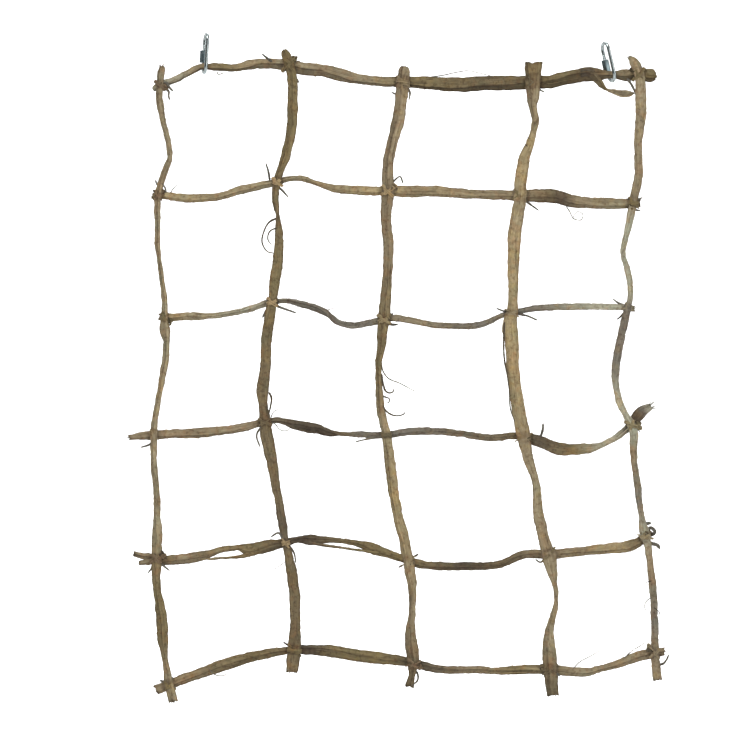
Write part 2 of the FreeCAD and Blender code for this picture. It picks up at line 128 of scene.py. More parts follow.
CROSSPIECES = {
    1: [(-65, -66, 5), (-57, -60, 6), (-42, -55, 7), (-24, -46, 7), (-13, -40.4, 7.5), (-8, -38.3, 7.5),
        (6, -38, 7.8), (35, -39, 8), (63, -34.5, 11), (88, -34.8, 12), (100, -36, 13), (118, -40.3, 15),
        (147, -43.5, 14), (167, -48.5, 14), (194, -54, 11), (218, -56.3, 11), (242, -57, 12),
        (264, -57.5, 14), (303, -59.5, 16), (361, -58, 17), (402, -57, 15), (418, -57, 14), (446, -51, 15),
        (469, -47, 16), (484, -48, 13.8), (491, -47.8, 10.4), (498, -47.8, 9.7), (505, -47.8, 10.2),
        (512, -48, 13), (530, -48, 12), (538, -48.5, 13), (544, -49, 15), (549, -49.5, 14),
        (552.5, -50, 7)],
    2: [(-66, -198, 6), (-60, -196, 7), (-31, -199.5, 9), (-13, -199.5, 9), (15, -197.3, 8), (47, -188, 9),
        (87, -180, 7), (101, -176, 5), (117, -176, 6), (135, -181, 5), (154, -187, 8), (178, -189, 10),
        (223, -191, 10), (240, -191, 12), (272, -191, 12), (335, -195, 11), (386, -196, 12),
        (407, -196, 15), (430, -197, 16), (446, -202, 14), (501, -206, 12), (533, -205, 9)],
    3: [(-58, -346, 7), (-24, -345, 9), (8, -344, 6), (39, -339, 6), (81, -328, 6), (101, -326, 5),
        (117, -330, 7), (146, -340, 7), (161, -352, 6), (178, -356, 6), (209, -351, 7), (231, -347, 7),
        (248, -350, 7), (295, -357, 6), (343, -353, 6), (365, -343, 5), (391, -337, 6), (446, -333, 7),
        (493, -333, 7), (526, -335, 6)],
    4: [(-95, -494, 5), (-78, -492, 9), (-28, -489, 10), (3, -487, 11), (26, -484.5, 9), (51, -480, 9),
        (89, -473, 6), (105, -477, 9), (121, -481.2, 11), (140, -484.2, 10), (151, -488, 8), (165, -489, 4),
        (185, -490, 6), (222, -491, 7), (256, -486, 8), (303, -488, 7), (351, -494, 7), (390, -493, 9),
        (404, -497, 12), (418, -502, 13), (434, -508, 14), (452, -508.5, 12), (469, -507, 11),
        (485, -503.5, 7), (512, -488, 7), (522, -479, 8), (529, -470, 12), (535, -463, 13), (541, -459, 10),
        (546, -456, 6)],
    5: [(-89, -637, 5), (-79, -640, 6), (-70, -641, 7), (-51, -645, 10), (-28, -643, 12), (-10, -640.5, 11),
        (4, -636.5, 8), (17, -632.5, 6.5), (32, -630.2, 5.5), (41, -629.8, 6.5), (45.5, -630.8, 10),
        (51, -631.8, 13), (62, -630.8, 14), (74, -628, 14), (86, -625.5, 11), (98, -623.5, 9),
        (113, -619, 7), (129, -620, 12), (139, -619.5, 9), (152, -619.5, 6), (175, -622.5, 6),
        (190, -626, 8), (203, -630, 12), (224, -637, 9), (264, -650, 9), (311, -652, 9), (361, -650, 8),
        (394, -637, 9), (421, -638, 10), (469, -633, 10), (501, -630, 12), (520, -627.5, 12),
        (534, -621, 10), (546, -609, 8)],
    6: [(-62, -804, 11), (-46, -798, 11), (-9, -784, 11), (16, -775.5, 13), (42, -767.5, 12),
        (74, -760, 10), (108, -755, 9), (133, -755, 12), (194, -763, 13), (217, -766, 13), (254, -771, 9),
        (287, -779, 9), (335, -780, 7.5), (352, -781, 6.5), (376, -780, 9.5), (423, -779, 10),
        (469, -782, 9), (485, -778, 7), (501, -774, 8), (539, -761, 12), (563, -757, 9)],
}
# Tones along each strip: the height on an upright or x on a crosspiece, and the tone there.
UPRIGHT_TONES = {
    1: [(-40, Tone.FAWN), (-100, Tone.KHAKI), (-600, Tone.KHAKI), (-680, Tone.OLIVE), (-740, Tone.OLIVE),
        (-790, Tone.KHAKI)],
    2: [(-20, Tone.OLIVE), (-150, Tone.OLIVE), (-220, Tone.UMBER), (-300, Tone.OLIVE), (-420, Tone.UMBER),
        (-570, Tone.UMBER), (-600, Tone.DUSK), (-640, Tone.UMBER), (-780, Tone.UMBER)],
    3: [(-40, Tone.FAWN), (-250, Tone.FAWN), (-400, Tone.OLIVE), (-480, Tone.KHAKI), (-530, Tone.GOLDEN),
        (-620, Tone.GOLDEN), (-700, Tone.FAWN), (-790, Tone.UMBER)],
    4: [(-40, Tone.OLIVE), (-75, Tone.FAWN), (-120, Tone.GOLDEN), (-170, Tone.GOLDEN), (-210, Tone.KHAKI),
        (-270, Tone.GOLDEN), (-460, Tone.GOLDEN), (-500, Tone.FAWN), (-570, Tone.KHAKI), (-620, Tone.FAWN),
        (-740, Tone.KHAKI), (-800, Tone.UMBER)],
    5: [(-30, Tone.KHAKI), (-200, Tone.FAWN), (-240, Tone.STRAW), (-310, Tone.STRAW), (-340, Tone.SLATE),
        (-400, Tone.SLATE), (-450, Tone.STRAW), (-490, Tone.STRAW), (-510, Tone.FAWN), (-570, Tone.SLATE),
        (-610, Tone.STRAW), (-650, Tone.FAWN), (-720, Tone.SLATE), (-780, Tone.FAWN)],
}
CROSSPIECE_TONES = {
    1: [(-60, Tone.STRAW), (-10, Tone.FAWN), (20, Tone.OLIVE), (60, Tone.KHAKI), (140, Tone.FAWN),
        (200, Tone.KHAKI), (240, Tone.OLIVE), (350, Tone.UMBER), (430, Tone.OLIVE), (470, Tone.UMBER),
        (485, Tone.UMBER), (500, Tone.FAWN), (550, Tone.OLIVE)],
    2: [(-60, Tone.GOLDEN), (80, Tone.KHAKI), (200, Tone.GOLDEN), (380, Tone.FAWN), (420, Tone.UMBER),
        (440, Tone.DUSK), (455, Tone.FAWN), (520, Tone.KHAKI)],
    3: [(-50, Tone.GOLDEN), (60, Tone.STRAW), (100, Tone.SLATE), (200, Tone.SLATE), (260, Tone.FAWN),
        (320, Tone.SLATE), (400, Tone.SLATE), (480, Tone.STRAW)],
    4: [(-90, Tone.FAWN), (50, Tone.FAWN), (110, Tone.DUSK), (150, Tone.DUSK), (170, Tone.UMBER),
        (190, Tone.SLATE), (240, Tone.SLATE), (380, Tone.UMBER), (410, Tone.DUSK), (450, Tone.OLIVE),
        (500, Tone.STRAW), (524, Tone.DUSK), (532, Tone.DUSK), (538, Tone.SLATE), (546, Tone.STRAW)],
    5: [(-80, Tone.FAWN), (-50, Tone.UMBER), (-30, Tone.FAWN), (50, Tone.OLIVE), (80, Tone.UMBER),
        (120, Tone.DUSK), (150, Tone.UMBER), (190, Tone.OLIVE), (240, Tone.OLIVE), (280, Tone.UMBER),
        (320, Tone.DUSK), (360, Tone.UMBER), (430, Tone.FAWN), (510, Tone.GOLDEN), (540, Tone.UMBER)],
    6: [(-60, Tone.FAWN), (60, Tone.OLIVE), (100, Tone.UMBER), (125, Tone.DUSK), (160, Tone.OLIVE),
        (220, Tone.OLIVE), (260, Tone.DUSK), (320, Tone.FAWN), (380, Tone.OLIVE), (460, Tone.KHAKI),
        (540, Tone.FAWN)],
}
# Places along the first crosspiece where the links' wire presses on it, in metres.
LINK_PLACES = (-0.0025, 0.498)
# Uprights whose upper end is doubled over, with the fold's length.
FOLDED_TOPS = {2: 7 * MM, 3: 8 * MM}
# How light the strip's layer beside its lap is, against the layer that ends there, by column or row.
UPRIGHT_UNDER_LAYERS = {5: 1.35}
CROSSPIECE_UNDER_LAYERS = {1: 0.48}
# Right ends that are a tuft: how many fibres, how far they reach and how many rings inside they start.
TUFTS = {4: (26, 9 * MM, 16)}
# Half widths of tails that are strips of bark and not twine, by crossing.
WIDE_TAILS = {
    (5, 5): 2.7 * MM, (2, 3): 1.9 * MM, (3, 3): 1.9 * MM, (1, 1): 1.8 * MM, (4, 4): 2.0 * MM,
    (5, 1): 1.9 * MM, (5, 4): 1.0 * MM,
}
TAIL_HALF_WIDTH = 1.55 * MM
# Where the outer layer ends across a strip, from -1 at the left or lower edge to 1: place, share.
UPRIGHT_LAPS = {
    1: [(-40, -0.4), (-300, 0.3), (-550, -0.3), (-800, 0.1)],
    2: [(-30, 0.2), (-200, -0.3), (-450, 0.45), (-600, 0.0), (-780, -0.35)],
    3: [(-50, -0.3), (-250, 0.25), (-420, -0.2), (-620, -0.45), (-790, 0.2)],
    4: [(-40, -0.65), (-130, 0.1), (-250, -0.6), (-500, -0.45), (-660, 0.2), (-800, -0.3)],
    5: [(-30, -1.3), (-320, -1.3), (-345, 0.1), (-440, 0.1), (-455, -1.3), (-490, 0.0), (-780, 0.1)],
}
CROSSPIECE_LAPS = {
    1: [(-60, -0.5), (50, -0.35), (70, 0.05), (140, 0.1), (170, -0.4), (300, -0.55), (450, 0.3),
        (540, -0.3)],
    2: [(-60, -0.55), (100, 0.0), (250, -0.5), (430, -0.2), (520, -0.6)],
    3: [(-50, -0.4), (120, 0.2), (300, -0.2), (520, 0.2)],
    4: [(-90, -0.3), (60, -0.5), (120, 0.3), (250, 0.0), (430, -0.1), (540, 0.3)],
    5: [(-80, 0.1), (50, -0.3), (120, 0.35), (250, -0.4), (400, 0.0), (540, -0.4)],
    6: [(-60, -0.4), (80, 0.1), (140, 0.4), (220, -0.1), (300, 0.3), (450, -0.3), (550, 0.1)],
}
# Half turns of a strip about its own line: place, how many, and the length that they take.
UPRIGHT_TURNS = {
    2: [(-224, 1, 30)],
    4: [(-108, 1, 40), (-691, -1, 36)],
    5: [(-266, 1, 30)],
}
CROSSPIECE_TURNS = {
    3: [(155, 1, 50)],
    4: [(166, 1, 26)],
}
# Parts of a strip that have come apart from it along the grain: middle line and width.
BRANCHES = {
    5: [
        [(-83, -648.5, 5), (-74, -647.5, 6), (-60, -645.5, 7), (-45, -645, 5)],
        [(-12, -644, 3), (4.5, -642.8, 3), (16.5, -642, 3), (32, -641.2, 3.5), (41, -640.2, 4.5),
         (52, -637.5, 6), (64, -635, 5)],
        [(124, -622, 5), (139.6, -625.5, 3.5), (155, -627.6, 3.2), (170, -629.7, 3.2), (186, -632.5, 3.5),
         (201, -634.8, 4), (213, -636.5, 4)],
    ],
}
# A layer of row 1 that has peeled off beside the right link: middle line, tones, laps and turn.
TONGUE = [(460, -45.5, 10), (472, -46, 10), (478, -51, 11), (484, -58, 8), (493, -66, 4), (503, -69, 7),
          (513, -71, 9.5), (520, -71, 7), (526, -70, 2)]
TONGUE_TONES = [(470, Tone.DUSK), (490, Tone.OLIVE), (500, Tone.FAWN), (520, Tone.KHAKI)]
TONGUE_LAPS = [(460, -0.2), (500, 0.5), (520, 0.6)]
TONGUE_TURNS = [(494, 1, 16)]
# Loose tails of the lashings by column and row: the routes from the knot outwards, in x and z.
TAILS = {
    (2, 1): [[(81, -32), (74, -27), (68, -22)], [(108, -49), (111, -53), (114, -58)]],
    (1, 1): [[(-52, -64), (-46, -69), (-46, -75), (-44, -80)],
             [(-55, -61), (-49, -58), (-45, -64), (-40, -69)]],
    (3, 1): [[(238, -66), (234, -71), (227, -69)], [(245, -61), (250, -69), (249, -80)]],
    (4, 1): [[(408, -65), (411, -67), (416, -70)]],
    (5, 1): [[(517, -52.5), (522, -59.5), (525.5, -66.5), (528.5, -74.5)]],
    (1, 2): [[(-57, -189), (-60, -184), (-63, -177)], [(-60, -197), (-63, -193), (-66, -189)],
             [(-55, -194), (-50, -191), (-51, -186), (-55, -182)]],
    (2, 2): [[(78, -178), (76, -166), (73, -156)], [(89, -186), (95, -192), (101, -199)]],
    (3, 2): [[(223, -189), (231, -178), (238, -173), (242, -182)]],
    (4, 2): [[(388, -200), (399, -208), (409, -215)]],
    (5, 2): [[(523, -205), (531, -201), (536, -199)], [(523, -210), (528, -214), (534, -215)],
             [(525, -203), (520, -202), (516, -200)]],
    (1, 3): [[(-54, -352), (-47, -357), (-50, -363)]],
    (2, 3): [[(83, -331), (97, -336), (111, -341)], [(78, -332), (73, -339), (69, -347)]],
    (3, 3): [[(218, -353), (227, -355), (236, -355)], [(221, -347), (227, -343), (230, -341)]],
    (4, 3): [[(378, -339), (368, -339), (356, -335)], [(381, -342), (393, -344), (407, -350)]],
    (5, 3): [[(517, -332), (506, -328), (499, -323)], [(517, -336), (507, -347), (504, -349)]],
    (1, 4): [[(-62, -497), (-71, -503), (-81, -506)]],
    (2, 4): [[(68, -480), (62, -490), (66, -506)]],
    (3, 4): [[(220, -492), (208, -494), (196, -496), (183, -499)]],
    (4, 4): [[(402, -495.5), (410.5, -492.5), (413.3, -485), (413.8, -475.5)]],
    (5, 4): [[(524, -476), (530, -474.5), (534.5, -477)], [(525, -481), (530.5, -484), (533, -488)],
             [(522, -483), (525.5, -489), (526.5, -493)], [(518, -481), (514, -484), (512, -489)]],
    (1, 5): [[(-62, -648), (-66, -653), (-72, -661)], [(-57, -648), (-51, -653), (-45, -658)]],
    (2, 5): [[(95, -621), (89, -611), (79, -616)], [(100, -624), (108, -636), (110, -648)]],
    (4, 5): [[(418, -640), (410, -647), (404, -643)]],
    (5, 5): [[(534, -605), (541, -600), (548, -599)], [(538, -613), (547, -605), (552, -610), (546, -616)],
             [(537, -621), (547, -624), (554, -626), (557, -631)]],
    (3, 6): [[(252, -778), (259, -783), (260, -791), (252, -799)]],
    (5, 6): [[(553, -770), (560, -773), (566, -767), (569, -760)], [(554, -768), (557, -774), (561, -770)]],
}
# Thin hairs that have come off a crosspiece: row and route.
ROW_HAIRS = [
    (1, [(276, -50.5), (290, -48.7), (308, -44.8), (322, -43), (334, -45.5), (352, -50)]),
    (1, [(13, -44), (15, -48), (19, -46), (24, -50)]),
    (2, [(-45, -194), (-40, -187), (-35, -182)]),
    (2, [(442, -209), (446, -215), (452, -225), (461, -226), (463, -220), (457, -216), (451, -223),
         (450, -229)]),
    (3, [(146, -339), (152, -336), (161, -336)]),
    (4, [(81, -474), (85, -478), (92, -485), (100, -485), (105, -480)]),
    (4, [(79, -470), (83, -462), (89, -459)]),
    (6, [(450, -779), (459, -770), (472, -763), (486, -755)]),
    (6, [(511, -768), (523, -756), (534, -749), (541, -743)]),
    (6, [(2, -777), (10, -785), (22, -786), (30, -779)]),
]
# The same off an upright: column, row above, half width and route.
SPAN_HAIRS = [
    (2, 2, 0.85, [(88, -224), (78, -229), (71, -241), (69, -255), (76, -266), (84, -268)]),
    (2, 2, 0.7, [(87, -236), (78, -241), (76, -251), (81, -258)]),
    (2, 3, 0.9, [(77, -438), (80, -444), (79, -456), (76, -468)]),
    (3, 3, 0.55, [(214.8, -402.6), (217.5, -413), (223, -420.4), (238, -427.2), (257.2, -437.5)]),
    (3, 3, 1.0, [(215, -415), (217.5, -429), (221, -437.2), (225, -439), (229.8, -437), (229.1, -433)]),
    (3, 3, 0.75, [(217.2, -443), (221, -444.5), (224.6, -445.8), (224.8, -449.5), (221.6, -451.8)]),
    (3, 3, 0.8, [(216.5, -454), (220, -460), (225.7, -464.8), (236.7, -466.9), (243.4, -464.1),
                  (244.9, -461.3)]),
    (2, 5, 0.28, [(99, -645), (83, -657), (71, -675), (67, -694), (70, -711)]),
    (4, 3, 0.75, [(366.5, -352), (365.5, -366), (365.2, -385), (366.5, -402), (369, -415), (371.8, -436),
                  (373.5, -460), (378.5, -474)]),
    (5, 5, 0.35, [(546, -670), (539, -672), (536, -679)]),
    (5, 5, 0.4, [(547, -690), (541, -694), (538, -702), (541, -708)]),
    (5, 5, 0.4, [(549, -702), (556, -708), (556, -716)]),
    (4, 1, 0.25, [(399, -128), (393, -124), (391, -118)]),
    (4, 1, 0.25, [(395, -137), (389, -129), (391, -123)]),
]


def in_metres(rows: list[tuple], *lengths: int) -> list[tuple]:
    """Turn a table's lengths from millimetres into metres.

    Args:
        rows: rows of the table.
        lengths: which of a row's values are lengths.

    Returns:
        The rows, with their other values as they were.
    """
    return [tuple(round(v * MM, 7) if k in lengths else v for k, v in enumerate(row)) for row in rows]


def unit(vectors: np.ndarray) -> np.ndarray:
    """The vectors at length one."""
    return vectors / np.maximum(np.linalg.norm(vectors, axis=-1, keepdims=True), 1e-12)


def ease(share: np.ndarray) -> np.ndarray:
    """A smooth step from 0 to 1 as the share goes from 0 to 1."""
    share = np.clip(share, 0.0, 1.0)
    return share * share * (3.0 - 2.0 * share)


def smooth_line(stations: list[tuple[float, ...]], step: float, axes: int = 2) -> np.ndarray:
    """Put evenly spaced points on a smooth line through stations.

    Args:
        stations: points, each with its coordinates first and other values after them.
        step: distance between neighbouring points of the result.
        axes: how many of a station's values are coordinates.

    Returns:
        One row for each point, with the same columns as a station.
    """
    knots = np.array(stations, float)
    gaps = np.linalg.norm(np.diff(knots[:, :axes], axis=0), axis=1)
    rates = np.diff(knots, axis=0) / gaps[:, None]
    before, after = gaps[:-1, None], gaps[1:, None]
    inner = (before * rates[1:] + after * rates[:-1]) / (before + after)
    slopes = np.vstack([rates[:1], inner, rates[-1:]])
    fine = []
    for start, end, m0, m1, gap in zip(knots, knots[1:], slopes, slopes[1:], gaps):
        count = max(4, math.ceil(gap / step) * 3)
        t = np.linspace(0.0, 1.0, count, endpoint=False)[:, None]
        fine.append(
            start * (2 * t**3 - 3 * t**2 + 1)
            + m0 * gap * (t**3 - 2 * t**2 + t)
            + end * (3 * t**2 - 2 * t**3)
            + m1 * gap * (t**3 - t**2)
        )
    dense = np.vstack([*fine, knots[-1:]])
    along = np.concatenate([[0.0], np.cumsum(np.linalg.norm(np.diff(dense[:, :axes], axis=0), axis=1))])
    places = np.linspace(0.0, along[-1], max(3, round(along[-1] / step) + 1))
    return np.column_stack([np.interp(places, along, column) for column in dense.T])


def lengths_along(centres: np.ndarray) -> np.ndarray:
    """How far each point is from the first, measured along the line through them."""
    return np.concatenate([[0.0], np.cumsum(np.linalg.norm(np.diff(centres, axis=0), axis=1))])


def place_object(name: str, data: bpy.types.ID) -> bpy.types.Object:
    """Link an object into the scene.

    Args:
        name: its name.
        data: its mesh, lamp or camera.

    Returns:
        The object, standing at the origin.
    """
    item = bpy.data.objects.new(name, data)
    bpy.context.scene.collection.objects.link(item)
    return item


def mesh_object(name: str, bm: bmesh.types.BMesh) -> bpy.types.Object:
    """Make an object out of a mesh in the making, which this frees.

    Args:
        name: the object's name.
        bm: the mesh in the making.

    Returns:
        The object, standing at the origin.
    """
    mesh = bpy.data.meshes.new(name)
    bm.to_mesh(mesh)
    bm.free()
    return place_object(name, mesh)


def shade_smooth(mesh: bpy.types.Mesh, sharpest: float) -> None:
    """Shade a mesh smooth, apart from edges that turn by more than this many degrees."""
    mesh.polygons.foreach_set("use_smooth", [True] * len(mesh.polygons))
    mesh.set_sharp_from_angle(angle=math.radians(sharpest))


@dataclass
class Grain:
    """Smooth seeded noise over a strip: round its girth, where it meets itself, and along it."""

    seed: int
    draws: np.random.Generator = field(init=False)

    def __post_init__(self) -> None:
        """Start the draws from the seed."""
        self.draws = np.random.default_rng(self.seed)

    def over(self, cells: int, length: float, share: np.ndarray, along: np.ndarray) -> np.ndarray:
        """Sample noise over the skin.

        Args:
            cells: how many cells go round the girth.
            length: one cell's length along the strip.
            share: where the columns are round the girth, from 0 to 1.
            along: where the rows are along the strip.

        Returns:
            Values from -1 to 1, one row for each place along and one column for each share.
        """
        lattice = self.draws.uniform(-1.0, 1.0, (int(along.max() / length) + 3, cells))
        x, y = share % 1.0 * cells, along / length
        i, j = np.floor(x).astype(int), np.floor(y).astype(int)
        fx, fy = ease(x - i)[None, :], ease(y - j)[:, None]
        i, j = i[None, :], j[:, None]
        low = lattice[j, i % cells] * (1 - fx) + lattice[j, (i + 1) % cells] * fx
        high = lattice[j + 1, i % cells] * (1 - fx) + lattice[j + 1, (i + 1) % cells] * fx
        return low * (1 - fy) + high * fy

    def along(self, length: float, along: np.ndarray) -> np.ndarray:
        """Noise from -1 to 1 along the strip alone, with cells of this length."""
        return self.over(1, length, np.zeros(1), along)[:, 0]

    def kinked(self, length: float, along: np.ndarray) -> np.ndarray:
        """The same with straight runs between sharp corners."""
        knots = np.arange(int(along.max() / length) + 3) * length
        return np.interp(along, knots, self.draws.uniform(-1.0, 1.0, len(knots)))


class Skins:
    """A mesh in the making, out of closed skins that are each rolled from a flat blank."""

    def __init__(self) -> None:
        """Start an empty mesh with its map, tone and hollow layers."""
        self.bm = bmesh.new()
        self.map = self.bm.loops.layers.uv.new("UVMap")
        self.tone = self.bm.verts.layers.float_color.new("tone")
        self.hollow = self.bm.verts.layers.float.new("hollow")

    def roll(self, rings: np.ndarray, tones: np.ndarray, hollows: np.ndarray, start: float = 0.0) -> None:
        """Roll one blank into a closed skin.

        Args:
            rings: points of each ring, by ring, place round it and coordinate.
            tones: linear colours, by ring, place and channel.
            hollows: how deep in a groove each point is, from 0 to 1.
            start: where the skin's map starts along the strip.
        """
        rows, around = rings.shape[:2]
        blank = bmesh.ops.create_grid(
            self.bm, x_segments=around, y_segments=rows - 1, size=1.0, calc_uvs=True
        )
        verts = blank["verts"]
        wrap = np.arange(around + 1) % around
        flat = rings[:, wrap].reshape(-1, 3)
        colours = np.concatenate([tones, np.ones((rows, around, 1))], axis=2)[:, wrap].reshape(-1, 4)
        for vert, place, colour, hollow in zip(
            verts, flat.tolist(), colours.tolist(), hollows[:, wrap].ravel().tolist()
        ):
            vert.co = place
            vert[self.tone] = colour
            vert[self.hollow] = hollow
        girth = float(np.linalg.norm(np.diff(rings, axis=1), axis=2).sum(1).mean())
        length = float(lengths_along(rings.mean(1))[-1])
        for face in {face for vert in verts for face in vert.link_faces}:
            for loop in face.loops:
                share = loop[self.map].uv
                loop[self.map].uv = (share.x * girth, start + share.y * length)
        seam = {verts[row * (around + 1) + around]: verts[row * (around + 1)] for row in range(rows)}
        bmesh.ops.weld_verts(self.bm, targetmap=seam)
        for row in (0, rows - 1):
            first = row * (around + 1)
            self.bm.faces.new(verts[first : first + around])

    def finish(self, name: str, material: bpy.types.Material, slot: str) -> bpy.types.Object:
        """Close the mesh, turn its faces outwards and make an object of it.

        Args:
            name: the piece's name.
            material: its finish.
            slot: not used.

        Returns:
            The object, standing at the origin.
        """
        bmesh.ops.recalc_face_normals(self.bm, faces=self.bm.faces[:])
        piece = mesh_object(name, self.bm)
        shade_smooth(piece.data, 62)
        piece.data.materials.append(material)
        return piece


@dataclass
class Strand:
    """A flat or round fibre that follows a route and thins out towards its ends.

    With guided set, each point of the route also holds the direction that the flat side faces.
    """

    route: list[tuple[float, ...]]
    half_width: float
    half_thickness: float
    tone: np.ndarray
    around: int = 8
    step: float = 1.2 * MM
    tip: float = 0.35
    guided: bool = False
    unevenness: float = 0.12
    twist: float = 0.5
    streaks: float = 0.16

    def skin(self, skins: Skins, grain: Grain) -> None:
        """Roll the fibre into a mesh.

        Args:
            skins: the mesh that it joins.
            grain: noise for its unevenness.
        """
        route = smooth_line(self.route, self.step, 3)
        centres = route[:, :3]
        tangents = unit(np.gradient(centres, axis=0))
        facing = route[:, 3:6] if self.guided else np.broadcast_to(FRONT, centres.shape)
        across = unit(np.cross(facing, tangents))
        facing = np.cross(tangents, across)
        share = np.arange(self.around) / self.around
        angle = 2 * math.pi * share
        along = lengths_along(centres)
        run = along / max(along[-1], 1e-9)
        size = 1.0 + (self.tip - 1.0) * run**1.6
        from_end = np.minimum(along, along[-1] - along)
        size = size * np.minimum(1.0, 0.25 + from_end / (1.5 * self.half_width))
        size = size * (1.0 + self.unevenness * grain.along(4 * MM, along))
        turn = self.twist * grain.along(14 * MM, along)[:, None]
        x = size[:, None] * self.half_width * np.sin(angle)[None, :]
        y = size[:, None] * self.half_thickness * np.cos(angle)[None, :]
        rings = (
            centres[:, None, :]
            + (x * np.cos(turn) - y * np.sin(turn))[:, :, None] * across[:, None, :]
            + (x * np.sin(turn) + y * np.cos(turn))[:, :, None] * facing[:, None, :]
        )
        ridges = grain.over(max(3, self.around // 2), 12 * MM, share, along)
        tones = self.tone[None, None, :] * (1.0 + self.streaks * ridges)[:, :, None]
        skins.roll(rings, tones, np.clip(-ridges, 0, 1) * 0.5)


@dataclass(frozen=True)
class Ridges:
    """Noise over a strip's skin: coarse and fine ridges, broad swells and short knobs."""

    cells: int
    coarse: np.ndarray
    fine: np.ndarray
    broad: np.ndarray
    knobs: np.ndarray


@dataclass
class BarkStrip:
    """One folded strip of bark along its stations.

    The stations, tones, laps and turns are rows of the tables, in millimetres; the sizes are in metres.
    """

    stations: list[tuple[float, float, float]]
    plane: float
    upright: bool
    tones: list[tuple[float, Tone]]
    laps: list[tuple[float, float]]
    turns: list[tuple[float, float, float]]
    seed: int
    around: int = 56
    step: float = 1.35 * MM
    half_thickness: float = STRIP_THICKNESS / 2
    ridge: float = 0.30 * MM
    torn: float = 1.6 * MM
    under_layer: float = 0.76
    fringe: float = 1.5 * MM
    edge_depth: float = 3.0 * MM
    lap_step: float = 0.42 * MM
    back_step: float = 0.3 * MM
    pressed: tuple[float, ...] = ()
    pressed_reach: float = 5 * MM
    pressed_fade: float = 7 * MM
    folded: float = 0.0

    def __post_init__(self) -> None:
        """Work out the rings, tones and hollows of the whole strip, quiet where a link presses on it."""
        self.grain = Grain(self.seed)
        self.share = np.arange(self.around) / self.around
        line = smooth_line(in_metres(self.stations, 0, 1, 2), self.step)
        self.place = line[:, 1] if self.upright else line[:, 0]
        along = lengths_along(line[:, :2])
        self.calm = np.ones(len(along))
        for place in self.pressed:
            beyond = np.abs(self.place - place) - self.pressed_reach
            self.calm = np.minimum(self.calm, ease(beyond / self.pressed_fade))
        self.widths = line[:, 2] * (1 + 0.05 * self.grain.kinked(9 * MM, along) * self.calm)
        self.widths = self.widths + self.fringe * self.calm
        sway = 0.5 * MM * self.grain.along(70 * MM, along) * self.calm
        slopes = unit(np.gradient(line[:, :2], axis=0))
        jog = 0.42 * self.grain.kinked(17 * MM, along) + 0.20 * self.grain.kinked(6 * MM, along)
        jog = jog * self.calm * MM
        self.centres = np.column_stack(
            [line[:, 0] + slopes[:, 1] * jog, self.plane + sway, line[:, 1] - slopes[:, 0] * jog]
        )
        self.along = along
        self._frames()
        self._rings()

    def _spread(self, stops: list[tuple[float, float]]) -> np.ndarray:
        """Values along the strip between stops of place and value."""
        ordered = sorted(in_metres(stops, 0))
        return np.interp(self.place, [s[0] for s in ordered], [s[1] for s in ordered])

    def _frames(self) -> None:
        """Directions along, across and out of the strip's front at each ring, with its half turns."""
        kernel = np.ones(5) / 5
        slopes = np.gradient(self.centres, axis=0)
        padded = np.vstack([slopes[:1]] * 2 + [slopes] + [slopes[-1:]] * 2)
        slopes = np.column_stack([np.convolve(column, kernel, "valid") for column in padded.T])
        self.tangents = unit(slopes)
        across = unit(np.cross(FRONT, self.tangents))
        facing = np.cross(self.tangents, across)
        turned = np.zeros(len(self.along))
        for place, count, length in in_metres(self.turns, 0, 2):
            centre = self.along[np.argmin(np.abs(self.place - place))]
            turned = turned + math.pi * count * ease((self.along - centre) / length + 0.5)
        self.edge_on = np.sin(turned) ** 2
        roll = turned + 0.10 * self.grain.along(60 * MM, self.along)
        c, s = np.cos(roll)[:, None], np.sin(roll)[:, None]
        self.across = across * c + facing * s
        self.facing = facing * c - across * s

    def _ridges(self) -> Ridges:
        """Draw the noise that gives the skin its relief, its mottling and the painted light and shade that
        follow the relief.

        Returns:
            Values from -1 to 1, by ring and place.
        """
        girth = float(self.widths.mean() * 2 + 4 * self.half_thickness)
        cells = max(9, round(girth / (1.25 * MM)))
        spacing = ((cells, 42 * MM), (cells * 2, 18 * MM), (5, 30 * MM), (9, 4.5 * MM))
        layers = [self.grain.over(count, length, self.share, self.along) for count, length in spacing]
        return Ridges(cells, *layers)

    def _rings(self) -> None:
        """Work out the points, tones and hollows of every ring."""
        angle = math.pi + 2 * math.pi * self.share
        side = (np.sign(np.sin(angle)) * np.abs(np.sin(angle)) ** 0.85)[None, :]
        depth = (np.sign(np.cos(angle)) * np.abs(np.cos(angle)) ** 0.62)[None, :]
        flat = 1 - self.edge_on
        half = self.widths / 2 * flat + np.maximum(self.widths / 2, self.edge_depth) * self.edge_on
        thick = (self.half_thickness - 0.35 * MM) * flat + self.widths / 2 * 0.92 * self.edge_on
        ridges = self._ridges()
        swells = (0.22 * ridges.broad + 0.16 * ridges.knobs) * MM
        relief = self.ridge * (ridges.coarse + 0.45 * ridges.fine) + swells
        if self.folded:
            run = np.clip(self.along / self.folded, 0.02, 1.0)
            half = half * (0.45 + 0.55 * np.sqrt(1 - (1 - run) ** 2))
            thick = thick * (1 + 0.35 * np.sin(math.pi * run))
        left, right = self._edge() * self.calm, self._edge() * self.calm
        x = half[:, None] * side + np.where(side < 0, -left[:, None], right[:, None]) * np.abs(side) ** 2

